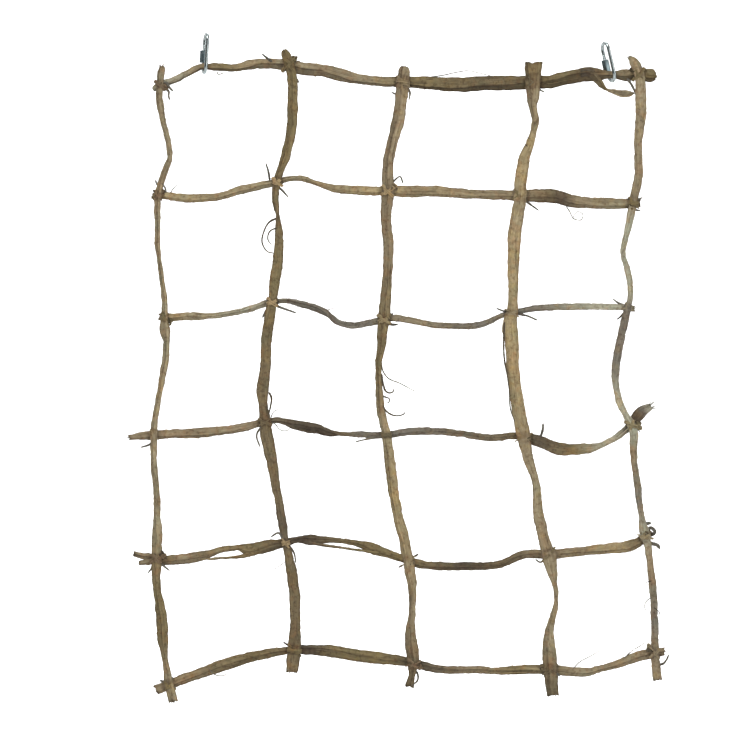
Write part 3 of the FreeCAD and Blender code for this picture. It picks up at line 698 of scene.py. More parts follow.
        lap = (self._spread(self.laps) + 0.12 * self.grain.along(15 * MM, self.along))[:, None]
        front, back = depth > 0, depth <= 0
        behind_lap = ease((lap - side) / 0.10 + 0.5) * front
        back_lap = ease((side + lap) / 0.12 + 0.5) * back
        step = self.lap_step * (1 - 2 * behind_lap) * front + self.back_step * (1 - 2 * back_lap) * back
        flatness = np.abs(depth) ** 0.4
        curl = 0.10 * self.grain.along(55 * MM, self.along)[:, None] * half[:, None] * (side**2 - 0.35)
        y = thick[:, None] * depth
        y = y + np.sign(depth) * flatness * (relief + step) + curl
        x = x + np.sign(side) * (1 - flatness) * relief

        # A dark line just inside the lap's edge: painted shadow of the step where the outer layer ends.
        crevice = np.exp(-(((side - lap + 0.09) / 0.07) ** 2)) * front
        hollows = self._hollow_map(ridges, crevice)
        y, tones, shift = self._torn_ends(y, self._tone_map(ridges, side, behind_lap))
        self.rings = (
            self.centres[:, None, :]
            + x[:, :, None] * self.across[:, None, :]
            + y[:, :, None] * self.facing[:, None, :]
            + shift[:, :, None] * self.tangents[:, None, :]
        )
        self.tone_map, self.hollows, self.half = tones, hollows, half

    def _hollow_map(self, ridges: Ridges, crevice: np.ndarray) -> np.ndarray:
        """Find how deep in a groove each point is, which darkens it: painted shade between ridges and painted
        shadow along the lap's edge, and dark flecks and cracks.

        Args:
            ridges: the skin's noise.
            crevice: how near each point is to the lap's edge, from 0 to 1.

        Returns:
            Depths from 0 to 1, by ring and place.
        """
        flecks = ease((self.grain.over(ridges.cells, 3.2 * MM, self.share, self.along) - 0.45) / 0.4)
        cracks = ease((np.abs(self.grain.kinked(5 * MM, self.along)) - 0.86) / 0.1)[:, None]
        cracks = cracks * ease(ridges.knobs + 0.4)
        # Darker between the ridges and along the lap's edge as painted shade; the flecks and cracks are dark
        # marks of the bark.
        hollow = 0.30 * np.clip(-ridges.coarse, 0, 1) + 0.42 * np.clip(-ridges.fine, 0, 1) + 0.8 * crevice
        return np.clip(hollow + 0.38 * flecks + 0.30 * cracks, 0, 1)

    def _tone_map(self, ridges: Ridges, side: np.ndarray, behind_lap: np.ndarray) -> np.ndarray:
        """Colour each point: the strip's tone there, mottled, lighter on its ridges, swells and knobs as
        painted light and shade, darker towards the edges and rusty in patches.

        Args:
            ridges: the skin's noise.
            side: places across the strip, from -1 to 1.
            behind_lap: how far each point is on the layer beside the lap, from 0 to 1.

        Returns:
            Linear colours, by ring, place and channel.
        """
        stops = sorted(in_metres(self.tones, 0), key=lambda stop: stop[0])
        places, colours = [place for place, _ in stops], np.array([tone.linear() for _, tone in stops])
        base = np.column_stack([np.interp(self.place, places, channel) for channel in colours.T])
        mottling = self.grain.over(ridges.cells, 6 * MM, self.share, self.along)
        # Lighter where the relief stands up and darker where it sinks, which is painted light and shade, with
        # random mottling.
        shade = 1.0 + 0.11 * ridges.broad + 0.06 * ridges.coarse + 0.10 * ridges.knobs + 0.10 * mottling
        shade = shade * (1.0 - (1.0 - self.under_layer) * behind_lap)
        # Darker towards the strip's edges.
        edge = ease((np.abs(side) - 0.64) / 0.36) * (0.6 + 0.4 * ridges.fine)
        rust = ease((self.grain.over(4, 24 * MM, self.share, self.along) - 0.25) / 0.6)
        tones = base[:, None, :] * shade[:, :, None]
        tones = tones * (1 - edge[:, :, None] * EDGE_DARKENING)
        return tones * (1 + rust[:, :, None] * RUST_TINT)

    def _torn_ends(self, y: np.ndarray, tones: np.ndarray) -> tuple[np.ndarray, np.ndarray, np.ndarray]:
        """Thin, darken and tear both ends.

        Args:
            y: heights over the strip's middle, by ring and place.
            tones: linear colours of the points.

        Returns:
            The new heights and colours, and how far each point is shifted along the strip.
        """
        reach, shift, ends = 5 * MM, np.zeros_like(y), np.zeros(1)
        for inwards, sign in ((self.along, -1.0), (self.along[-1] - self.along, 1.0)):
            near = np.clip(1 - inwards / reach, 0, 1)[:, None]
            coarse, fine = (self.grain.over(count, 1.0, self.share, ends) for count in (7, 19))
            ragged = self.torn * (coarse + 0.5 * fine)
            if self.folded and sign < 0:
                ragged = ragged * 0.3
            y = y * (1 - 0.30 * near)
            tones = tones * (1 - 0.38 * near[:, :, None] ** 1.5)
            shift = shift + near * ragged * sign
        return y, tones, shift

    def shade_and_soil(self, ring: int, reach: float) -> None:
        """Darken the strip's hollows round a crossing: painted contact shadow under the twine, and the dirt
        that the twine holds.

        Args:
            ring: number of the ring in the crossing's middle.
            reach: how far to each side the darkening goes.
        """
        near = ease((reach + 3 * MM - np.abs(self.along - self.along[ring])) / (3 * MM))[:, None]
        patches = ease(self.grain.over(8, 3.0 * MM, self.share, self.along) + 0.5)
        self.hollows = np.clip(self.hollows + 0.62 * near * patches, 0, 1)

    def _edge(self) -> np.ndarray:
        """Tear one edge into waves, small steps and scales.

        Returns:
            How far the edge stands out at each ring.
        """
        grain, along = self.grain, self.along
        scales = ease((grain.kinked(3.4 * MM, along) - 0.45) / 0.4)
        scales = scales - ease((grain.kinked(4.1 * MM, along) - 0.6) / 0.3)
        waves = 0.36 * grain.kinked(8 * MM, along) + 0.20 * grain.kinked(2.7 * MM, along)
        return (waves + 0.45 * scales) * MM

    def skin(self, skins: Skins, first: int = 0, last: int | None = None) -> None:
        """Roll the strip, or a length of it, into a mesh.

        Args:
            skins: the mesh that it joins.
            first: number of the first ring.
            last: number of the last ring, or None for the strip's end.
        """
        end = len(self.rings) - 1 if last is None else last
        rings, tones, hollows = (a[first : end + 1] for a in (self.rings, self.tone_map, self.hollows))
        if first == 0:
            rings, tones, hollows = self._closed(rings, tones, hollows, True)
        if end == len(self.rings) - 1:
            rings, tones, hollows = self._closed(rings, tones, hollows, False)
        skins.roll(rings, tones, hollows, float(self.along[first]))

    def _closed(self, rings: np.ndarray, tones: np.ndarray, hollows: np.ndarray, start: bool) -> tuple:
        """Add two rings that draw a torn end together inwards.

        Args:
            rings: points of the rings.
            tones: their linear colours.
            hollows: their depths in grooves.
            start: whether this is the strip's first end.

        Returns:
            The three arrays with the rings added.
        """
        row = 0 if start else -1
        inwards = self.tangents[row] * (1 if start else -1)
        middle = rings[row].mean(0)
        added = []
        for size, depth in ((0.72, 0.2 * MM), (0.25, 1.4 * MM)):
            added.append(middle + (rings[row] - middle) * size + inwards * depth)
        # The drawn-in rings are darkened and count as deep in a groove: painted shade in the hollow end.
        more = (np.array(added), np.stack([tones[row] * 0.75] * 2), np.stack([hollows[row] * 0 + 0.8] * 2))
        pairs = zip(more, (rings, tones, hollows))
        if start:
            return tuple(np.concatenate([extra[::-1], old]) for extra, old in pairs)
        return tuple(np.concatenate([old, extra]) for extra, old in pairs)

    def point(self, row: float, side: float, lift: float) -> np.ndarray:
        """Find a point over one of the strip's faces.

        Args:
            row: number of the ring.
            side: place across the strip, from -1 to 1.
            lift: height over the face, which is the back where this is negative.

        Returns:
            The point.
        """
        index = int(np.clip(round(row), 0, len(self.centres) - 1))
        rise = self.half_thickness * math.sqrt(max(0.0, 1 - abs(side) ** 3)) + 0.35 * MM + abs(lift)
        facing = self.facing[index] * (1 if lift >= 0 else -1)
        return self.centres[index] + side * self.half[index] * self.across[index] + rise * facing

    def slivers(
        self, skins: Skins, first: int, last: int, spacing: float = 42 * MM, whisker_spacing: float = 34 * MM
    ) -> None:
        """Lay thin fibres on the strip, some of them lifting off at an end, and whiskers at its edges.

        Args:
            skins: the mesh that they join.
            first: number of the first ring that they may start from.
            last: number of the last ring that they may reach.
            spacing: mean distance between two fibres.
            whisker_spacing: mean distance between two whiskers.
        """
        draws = self.grain.draws
        for _ in range(max(1, round((last - first) * self.step / spacing))):
            rows = draws.uniform(16, 46) * MM / self.step
            start = draws.uniform(first, max(first + 1, last - rows))
            end = min(last, start + rows)
            if self.calm[int(start) : int(end) + 1].min() < 0.9:
                continue
            side, drift = draws.uniform(-0.85, 0.85), draws.uniform(-0.25, 0.25)
            face = -1.0 if draws.uniform() < 0.25 else 1.0
            peel = draws.uniform(0.5, 3.5) * MM if draws.uniform() < 0.45 else 0.0
            out = draws.uniform(0.3, 1.0) * np.sign(side) * peel
            route = []
            for k in np.linspace(0.0, 1.0, 7):
                lift = 0.02 * MM + peel * ease(np.array((k - 0.6) / 0.4)) ** 2
                spot = self.point(start + (end - start) * k, side + drift * k, face * float(lift))
                opening = float(ease(np.array((k - 0.55) / 0.45)))
                route.append(tuple(spot + self.across[int(start)] * out * opening))
            tone = self.tone_map[int(start)].mean(0) * draws.uniform(0.55, 1.45)
            Strand(route, draws.uniform(0.35, 0.85) * MM, 0.22 * MM, tone, around=6, step=2.2 * MM).skin(
                skins, self.grain
            )
        for _ in range(max(1, round((last - first) * self.step / whisker_spacing))):
            row = draws.uniform(first + 2, last - 2)
            if self.calm[int(row)] < 0.9:
                continue
            sign = 1.0 if draws.uniform() < 0.5 else -1.0
            base = self.point(row, 0.9 * sign, 0.0)
            lean, reach = draws.uniform(-1.0, 1.0), draws.uniform(2.0, 6.5) * MM
            index = int(row)
            away = self.across[index] * sign * 0.8 + self.tangents[index] * lean
            away = away + FRONT * draws.uniform(-0.5, 0.5)
            bend = self.tangents[index] * draws.uniform(-0.6, 0.6)
            route = [tuple(base + away * reach * k + bend * reach * k * k) for k in (0.0, 0.35, 0.7, 1.0)]
            Strand(route, 0.16 * MM, 0.13 * MM, Tone.KHAKI.linear(), around=5, step=1.4 * MM).skin(
                skins, self.grain
            )

    def fray(self, skins: Skins, start: bool, count: int = 5, reach: float = 4 * MM, deep: int = 6) -> None:
        """Let loose fibres stand out of a torn end.

        Args:
            skins: the mesh that they join.
            start: whether this is the strip's first end.
            count: how many fibres.
            reach: how far they stand out at most.
            deep: how many rings inside the end they start.
        """
        draws = self.grain.draws
        row = 0 if start else len(self.centres) - 1
        inner = deep if start else len(self.centres) - 1 - deep
        out = self.tangents[row] * (-1 if start else 1)
        for _ in range(count):
            side = draws.uniform(-0.8, 0.8)
            lift = draws.uniform(-0.3, 0.3) * MM
            root = self.point(inner, side * 0.9, lift)
            root = root - self.facing[inner] * self.half_thickness * np.sign(lift)
            end = self.centres[row] + side * self.half[row] * self.across[row] + lift * self.facing[row]
            spread = self.across[row] * side * draws.uniform(0.2, 1.0)
            spread = spread + self.facing[row] * draws.uniform(-0.3, 0.3)
            tip = end + (out + spread) * reach * draws.uniform(0.35, 1.0)
            tone = self.tone_map[row].mean(0) * draws.uniform(0.7, 1.4)
            route = [tuple(root), tuple(end), tuple(tip)]
            Strand(route, draws.uniform(0.3, 0.8) * MM, 0.25 * MM, tone, around=6).skin(skins, self.grain)


@dataclass
class Uprights:
    """The five upright strips, each in spans from crossing to crossing."""

    finish: bpy.types.Material
    strips: dict[int, BarkStrip] = field(default_factory=dict)

    def prepare(self) -> None:
        """Shape the five strips."""
        for column, stations in UPRIGHTS.items():
            self.strips[column] = BarkStrip(
                stations, UPRIGHT_PLANE, True, UPRIGHT_TONES[column], UPRIGHT_LAPS[column],
                UPRIGHT_TURNS.get(column, []), UPRIGHT_SEED + column, folded=FOLDED_TOPS.get(column, 0.0),
                under_layer=UPRIGHT_UNDER_LAYERS.get(column, 0.76),
            )

    def build(self, crossings: dict[tuple[int, int], "Crossing"]) -> None:
        """Make every span.

        Args:
            crossings: where the strips cross, by column and row.
        """
        for column, strip in self.strips.items():
            for span in SPANS:
                first = 0 if span == SPANS[0] else crossings[column, span].upright_ring
                last = len(strip.rings) - 1 if span == SPANS[-1] else crossings[column, span + 1].upright_ring
                skins = Skins()
                strip.skin(skins, first, last)
                clear = round(9 * MM / strip.step)
                inner_first = crossings[column, span].upright_ring + clear
                inner_last = crossings[column, span + 1].upright_ring - clear
                strip.slivers(skins, inner_first, inner_last)
                if span == SPANS[0]:
                    strip.fray(skins, True, 2 if strip.folded else 5)
                if span == SPANS[-1]:
                    strip.fray(skins, False)
                for hair_column, hair_span, half_width, route in SPAN_HAIRS:
                    if (hair_column, hair_span) == (column, span):
                        hair(skins, route, UPRIGHT_PLANE, half_width * MM, Tone.DUSK, strip.grain)
                piece = skins.finish(f"bark_upright_{column}_span_{span}", self.finish, "bark_upright")
                nodes = [f"upright_{column}_row_{span}"]
                if span == SPANS[-1]:
                    nodes.append(f"upright_{column}_row_6")
                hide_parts(*nodes)
                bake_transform(piece)
            LOG.info("upright %d: 5 spans, %.0f mm of bark", column, strip.along[-1] / MM)


@dataclass
class Crosspieces:
    """The six crosspieces, with their branches and the tongue that peels off the first."""

    finish: bpy.types.Material
    strips: dict[int, BarkStrip] = field(default_factory=dict)

    def prepare(self) -> None:
        """Shape the six strips."""
        for row, stations in CROSSPIECES.items():
            self.strips[row] = BarkStrip(
                stations, CROSSPIECE_PLANE, False, CROSSPIECE_TONES[row], CROSSPIECE_LAPS[row],
                CROSSPIECE_TURNS.get(row, []), CROSSPIECE_SEED + row,
                under_layer=CROSSPIECE_UNDER_LAYERS.get(row, 0.74), pressed=LINK_PLACES if row == 1 else (),
            )

    def build(self) -> None:
        """Make each crosspiece as one piece that rides on its row."""
        for row, strip in self.strips.items():
            skins = Skins()
            strip.skin(skins)
            strip.slivers(skins, 4, len(strip.rings) - 5)
            strip.fray(skins, True)
            strip.fray(skins, False, *TUFTS.get(row, ()))
            for number, stations in enumerate(BRANCHES.get(row, [])):
                branch = BarkStrip(
                    stations, CROSSPIECE_PLANE, False, CROSSPIECE_TONES[row], [(0, -0.3)], [],
                    BRANCH_SEED + 10 * row + number, around=28, half_thickness=1.3 * MM, torn=0.8 * MM,
                    fringe=0.2 * MM,
                )
                branch.skin(skins)
            if row == 1:
                self._tongue(skins)
            for hair_row, route in ROW_HAIRS:
                if hair_row == row:
                    hair(skins, route, CROSSPIECE_PLANE, 0.45 * MM, Tone.SLATE, strip.grain)
            piece = skins.finish(f"bark_crosspiece_{row}", self.finish, "bark_crosspiece")
            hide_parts(f"crosspiece_{row}")
            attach(piece, f"row_{row}")
            LOG.info("crosspiece %d: %.0f mm of bark", row, strip.along[-1] / MM)

    def _tongue(self, skins: Skins) -> None:
        """Add the layer that peels off beside the right link, where its root lies on the strip's front.

        Args:
            skins: the mesh of crosspiece 1.
        """
        layer = BarkStrip(
            TONGUE, CROSSPIECE_PLANE, False, TONGUE_TONES, TONGUE_LAPS, TONGUE_TURNS, TONGUE_SEED, around=32,
            half_thickness=0.75 * MM, ridge=0.12 * MM, torn=0.6 * MM, fringe=0.0, edge_depth=1.5 * MM,
        )
        free_from, root_length, root_height = 0.500, 0.03, 1.7 * MM
        out = ease((free_from - layer.place) / root_length) * root_height
        layer.rings[:, :, 1] -= out[:, None]
        layer.skin(skins)


@dataclass
class Crossing:
    """Where an upright passes in front of a crosspiece."""

    upright: BarkStrip
    crosspiece: BarkStrip

    def __post_init__(self) -> None:
        """Find the pair of rings that lie nearest to each other."""
        a = self.upright.centres[:, [0, 2]]
        b = self.crosspiece.centres[:, [0, 2]]
        apart = np.linalg.norm(a[:, None, :] - b[None, :, :], axis=2)
        nearest = np.unravel_index(apart.argmin(), apart.shape)
        self.upright_ring, self.crosspiece_ring = (int(ring) for ring in nearest)
        middle = (a[self.upright_ring] + b[self.crosspiece_ring]) / 2
        self.centre = np.array((middle[0], 0.0, middle[1]))
        self.up = unit(np.cross(FRONT, self.crosspiece.tangents[self.crosspiece_ring]))
        self.right = unit(np.cross(FRONT, self.upright.tangents[self.upright_ring]))
        self.half_upright = float(self.upright.widths[self.upright_ring]) / 2
        self.half_crosspiece = float(self.crosspiece.widths[self.crosspiece_ring]) / 2
        # Painted contact shadow and dirt on both strips round the crossing.
        self.upright.shade_and_soil(self.upright_ring, self.half_crosspiece + 0.5 * MM)
        self.crosspiece.shade_and_soil(self.crosspiece_ring, self.half_upright + 2.0 * MM)

    def corner(self, side: int, level: int) -> np.ndarray:
        """A corner of the patch that the two strips share."""
        return self.centre + side * self.half_upright * self.right + level * self.half_crosspiece * self.up


class Wrap(Enum):
    """How twine lies over a crossing: turns on each rising and falling diagonal, and level turns."""

    CROSS = (2, 2, 0)
    RISING = (2, 1, 0)
    FALLING = (1, 2, 0)
    BAND = (0, 1, 3)
    FLUSH = (1, 1, 0)


# Each crossing's lashing: how it lies, the twine's tone, and the corner that its knot is at, if any.
TIES = {
    (1, 1): (Wrap.FALLING, Tone.RUSSET, (1, -1)),
    (2, 1): (Wrap.CROSS, Tone.OLIVE, (1, 1)),
    (3, 1): (Wrap.BAND, Tone.FAWN, None),
    (4, 1): (Wrap.FLUSH, Tone.UMBER, None),
    (5, 1): (Wrap.RISING, Tone.OLIVE, (-1, 1)),
    (1, 2): (Wrap.RISING, Tone.RUSSET, (1, 1)),
    (2, 2): (Wrap.CROSS, Tone.HONEY, None),
    (3, 2): (Wrap.CROSS, Tone.HONEY, (1, 1)),
    (4, 2): (Wrap.FLUSH, Tone.OLIVE, None),
    (5, 2): (Wrap.BAND, Tone.OLIVE, (-1, -1)),
    (1, 3): (Wrap.FALLING, Tone.OLIVE, (1, -1)),
    (2, 3): (Wrap.CROSS, Tone.HONEY, None),
    (3, 3): (Wrap.CROSS, Tone.GOLDEN, (1, 1)),
    (4, 3): (Wrap.RISING, Tone.FAWN, None),
    (5, 3): (Wrap.FLUSH, Tone.KHAKI, None),
    (1, 4): (Wrap.FLUSH, Tone.FAWN, None),
    (2, 4): (Wrap.FALLING, Tone.UMBER, None),
    (3, 4): (Wrap.BAND, Tone.UMBER, None),
    (4, 4): (Wrap.FLUSH, Tone.OLIVE, (1, -1)),
    (5, 4): (Wrap.CROSS, Tone.GOLDEN, (1, -1)),
    (1, 5): (Wrap.CROSS, Tone.RUSSET, (1, 1)),
    (2, 5): (Wrap.BAND, Tone.HONEY, None),
    (3, 5): (Wrap.FLUSH, Tone.FAWN, (1, -1)),
    (4, 5): (Wrap.FLUSH, Tone.OLIVE, None),
    (5, 5): (Wrap.BAND, Tone.KHAKI, (1, 1)),
    (1, 6): (Wrap.FLUSH, Tone.OLIVE, None),
    (2, 6): (Wrap.BAND, Tone.OLIVE, None),
    (3, 6): (Wrap.FALLING, Tone.RUSSET, (1, -1)),
    (4, 6): (Wrap.FLUSH, Tone.UMBER, (-1, 1)),
    (5, 6): (Wrap.RISING, Tone.FAWN, (-1, 1)),
}


@dataclass
class Lashing:
    """Twine wound round a crossing in a cross, with a knot at a corner and loose tails."""

    crossing: Crossing
    wrap: Wrap
    tone: Tone
    knot_corner: tuple[int, int] | None
    seed: int
    half_width: float = 1.0 * MM
    half_thickness: float = 0.5 * MM
    spacing: float = 1.9 * MM
    front: float = -5.75 * MM
    back: float = 2.25 * MM
    stand_off: float = 0.55 * MM

    def wind(self, skins: Skins) -> None:
        """Wind every set of turns and tie the knot.

        Args:
            skins: the mesh of this row's lashings.
        """
        grain = Grain(self.seed)
        flush = self.wrap is Wrap.FLUSH
        rising, falling, level = self.wrap.value
        route: list[tuple[float, ...]] = []
        sets = [
            (self.crossing.corner(-1, -1), self.crossing.corner(1, 1), rising),
            (self.crossing.corner(-1, 1), self.crossing.corner(1, -1), falling),
            (self.crossing.corner(-1, 0), self.crossing.corner(1, 0), level),
        ]
        for layer, (low, high, turns) in enumerate(sets):
            if turns:
                route += self._turns(low, high, turns, 0.0 if flush else layer * 0.55 * MM, flush, grain)
        tone = self.tone.linear() * grain.draws.uniform(0.85, 1.02)
        size = 0.8 if flush else 1.0
        Strand(
            route, self.half_width * size, self.half_thickness * size, tone,
            around=10, step=0.95 * MM, tip=0.9, guided=True,
        ).skin(skins, grain)
        if self.knot_corner is not None:
            self._knot(skins, grain, tone)

    def _turns(
        self, low: np.ndarray, high: np.ndarray, turns: int, lift: float, flush: bool, grain: Grain
    ) -> list[tuple[float, ...]]:
        """Turns of twine round both strips, in the plane through two corners.

        Args:
            low: the first corner.
            high: the corner across from it.
            turns: how many turns.
            lift: how far the turns stand over those below them.
            flush: whether they are sunk into the strips.
            grain: noise for their unevenness.

        Returns:
            Points of the route, each with the direction that the strand's flat side faces.
        """
        draws = grain.draws
        middle, span = (low + high) / 2, high - low
        direction = unit(span)
        sideways = np.cross(direction, FRONT)
        half = float(np.linalg.norm(span)) / 2 + self.stand_off
        front = self.front - lift + (0.85 * MM if flush else 0.0)
        back = self.back + lift
        tilt, start = draws.uniform(-0.14, 0.14), draws.uniform(0.0, 0.1)
        slack = draws.uniform(-0.35, 0.35, turns + 2) * MM
        route, steps = [], 20
        for step in range(turns * steps + 1):
            turn = step / steps
            angle = math.pi / 2 + 2 * math.pi * (turn + start)
            c, s = math.cos(angle), math.sin(angle)
            run = math.copysign(abs(c) ** 0.6, c)
            rise = math.copysign(abs(s) ** 0.5, s)
            shift = (turn - turns / 2) * self.spacing + tilt * run * half
            shift += float(np.interp(turn, range(turns + 2), slack))
            y = (front + back) / 2 - rise * (back - front) / 2
            spot = middle + direction * run * half + sideways * shift + np.array((0.0, y, 0.0))
            route.append((*spot, *unit(direction * c * 0.9 + FRONT * s)))
        return route

    def _knot(self, skins: Skins, grain: Grain, tone: np.ndarray) -> None:
        """Tie two overhand knots on top of each other at a corner of the crossing.

        Args:
            skins: the mesh of this row's lashings.
            grain: noise for their unevenness.
            tone: the twine's linear colour.
        """
        draws = grain.draws
        corner = self.crossing.corner(*self.knot_corner)
        for part in range(2):
            offset = draws.uniform(-1.0, 1.0, 3) * (2.0 * MM, 0.8 * MM, 2.0 * MM)
            middle = corner + offset + np.array((0.0, -3.2 * MM, 0.0))
            size, start = draws.uniform(1.05, 1.45) * MM, draws.uniform(0, 6.28)
            turned = Matrix.Rotation(draws.uniform(0, 6.28), 3, "Y")
            lean = turned @ Matrix.Rotation(draws.uniform(-0.6, 0.6), 3, "X")
            route = []
            for t in np.linspace(0, 2 * math.pi, 34):
                x = math.sin(t + start) + 2 * math.sin(2 * t + 2 * start)
                z = math.cos(t + start) - 2 * math.cos(2 * t + 2 * start)
                y = -math.sin(3 * t + 3 * start)
                route.append(tuple(middle + np.array(lean @ Vector((x * size, y * size, z * size)))))
            shade = tone * (0.42 if part == 0 else 0.85) * draws.uniform(0.85, 1.1)
            Strand(route, 1.2 * MM, 0.75 * MM, shade, around=8, step=0.85 * MM, tip=1.0).skin(skins, grain)

    def tails(self, skins: Skins, routes: list[list[tuple[float, float]]], half_width: float) -> None:
        """Add the loose ends.

        Args:
            skins: the mesh of this row's lashings.
            routes: where each tail runs, from the knot outwards, or nothing for two short ones.
            half_width: half the width of a tail at its root.
        """
        grain = Grain(self.seed + TAIL_SEED_STEP)
        draws = grain.draws
        if not routes:
            for side, level in ((-1, draws.choice((-1, 1))), (1, draws.choice((-1, 1)))):
                corner = self.crossing.corner(side, int(level))
                away = unit(corner - self.crossing.centre)
                tip = corner + away * draws.uniform(3, 7) * MM
                routes.append([(p[0], p[2]) for p in (corner - away * 2 * MM, corner + away * 2 * MM, tip)])
        for route in routes:
            depth, sweep = draws.uniform(-4.0, 1.0) * MM, draws.uniform(-6.0, 3.0) * MM
            count = len(route) - 1
            points = [(x, depth + sweep * (k / count) ** 1.5, z) for k, (x, z) in enumerate(route)]
            # Tails are a darker slate than the twine: painted shade, for tails that hang on the shadow side.
            tone = Tone.SLATE.linear() * draws.uniform(0.40, 0.85)
            Strand(points, half_width, 0.55 * MM, tone, tip=0.6).skin(skins, grain)


def hair(
    skins: Skins, route: list[tuple[float, float]], plane: float, half_width: float, tone: Tone, grain: Grain
) -> None:
    """Add a thin loose fibre that curls out of a strip.

    Args:
        skins: the mesh that it joins.
        route: x and z along it, in millimetres.
        plane: y of the strip's middle.
        half_width: half its width near the tip, in metres.
        tone: its colour before it is darkened.
        grain: noise for its curl in depth.
    """
    sweep = grain.draws.uniform(-7.0, 2.0) * MM
    count = len(route) - 1
    places = enumerate(in_metres(route, 0, 1))
    points = [(x, plane - 1.0 * MM + sweep * (k / count), z) for k, (x, z) in places]
    root, thickest, darker = 1.8 * half_width, 0.5 * MM, 0.8 * tone.linear()
    Strand(points, root, min(root, thickest), darker, around=6, tip=0.55).skin(skins, grain)


@dataclass
class Lashings:
    """All thirty lashings, one piece for each row."""

    finish: bpy.types.Material

    def build(self, crossings: dict[tuple[int, int], Crossing]) -> None:
        """Wind the lashings of each row.

        Args:
            crossings: where the strips cross, by column and row.
        """
        for row in CROSSPIECES:
            skins = Skins()
            for column in UPRIGHTS:
                seed = LASHING_SEED + 10 * row + column
                lashing = Lashing(crossings[column, row], *TIES[column, row], seed)
                lashing.wind(skins)
                routes = [in_metres(route, 0, 1) for route in TAILS.get((column, row), [])]
                lashing.tails(skins, routes, WIDE_TAILS.get((column, row), TAIL_HALF_WIDTH))
            piece = skins.finish(f"twine_lashings_row_{row}", self.finish, "twine")
            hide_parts(f"lashings_row_{row}")
            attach(piece, f"row_{row}")
            LOG.info("lashings of row %d: 5 crosses with knots and tails", row)


class Side(Enum):
    """The two links, with how each leans in the net's plane and is turned, in degrees."""

    LEFT = ("left", 3.5, 17.0)
    RIGHT = ("right", -13.0, 20.0)


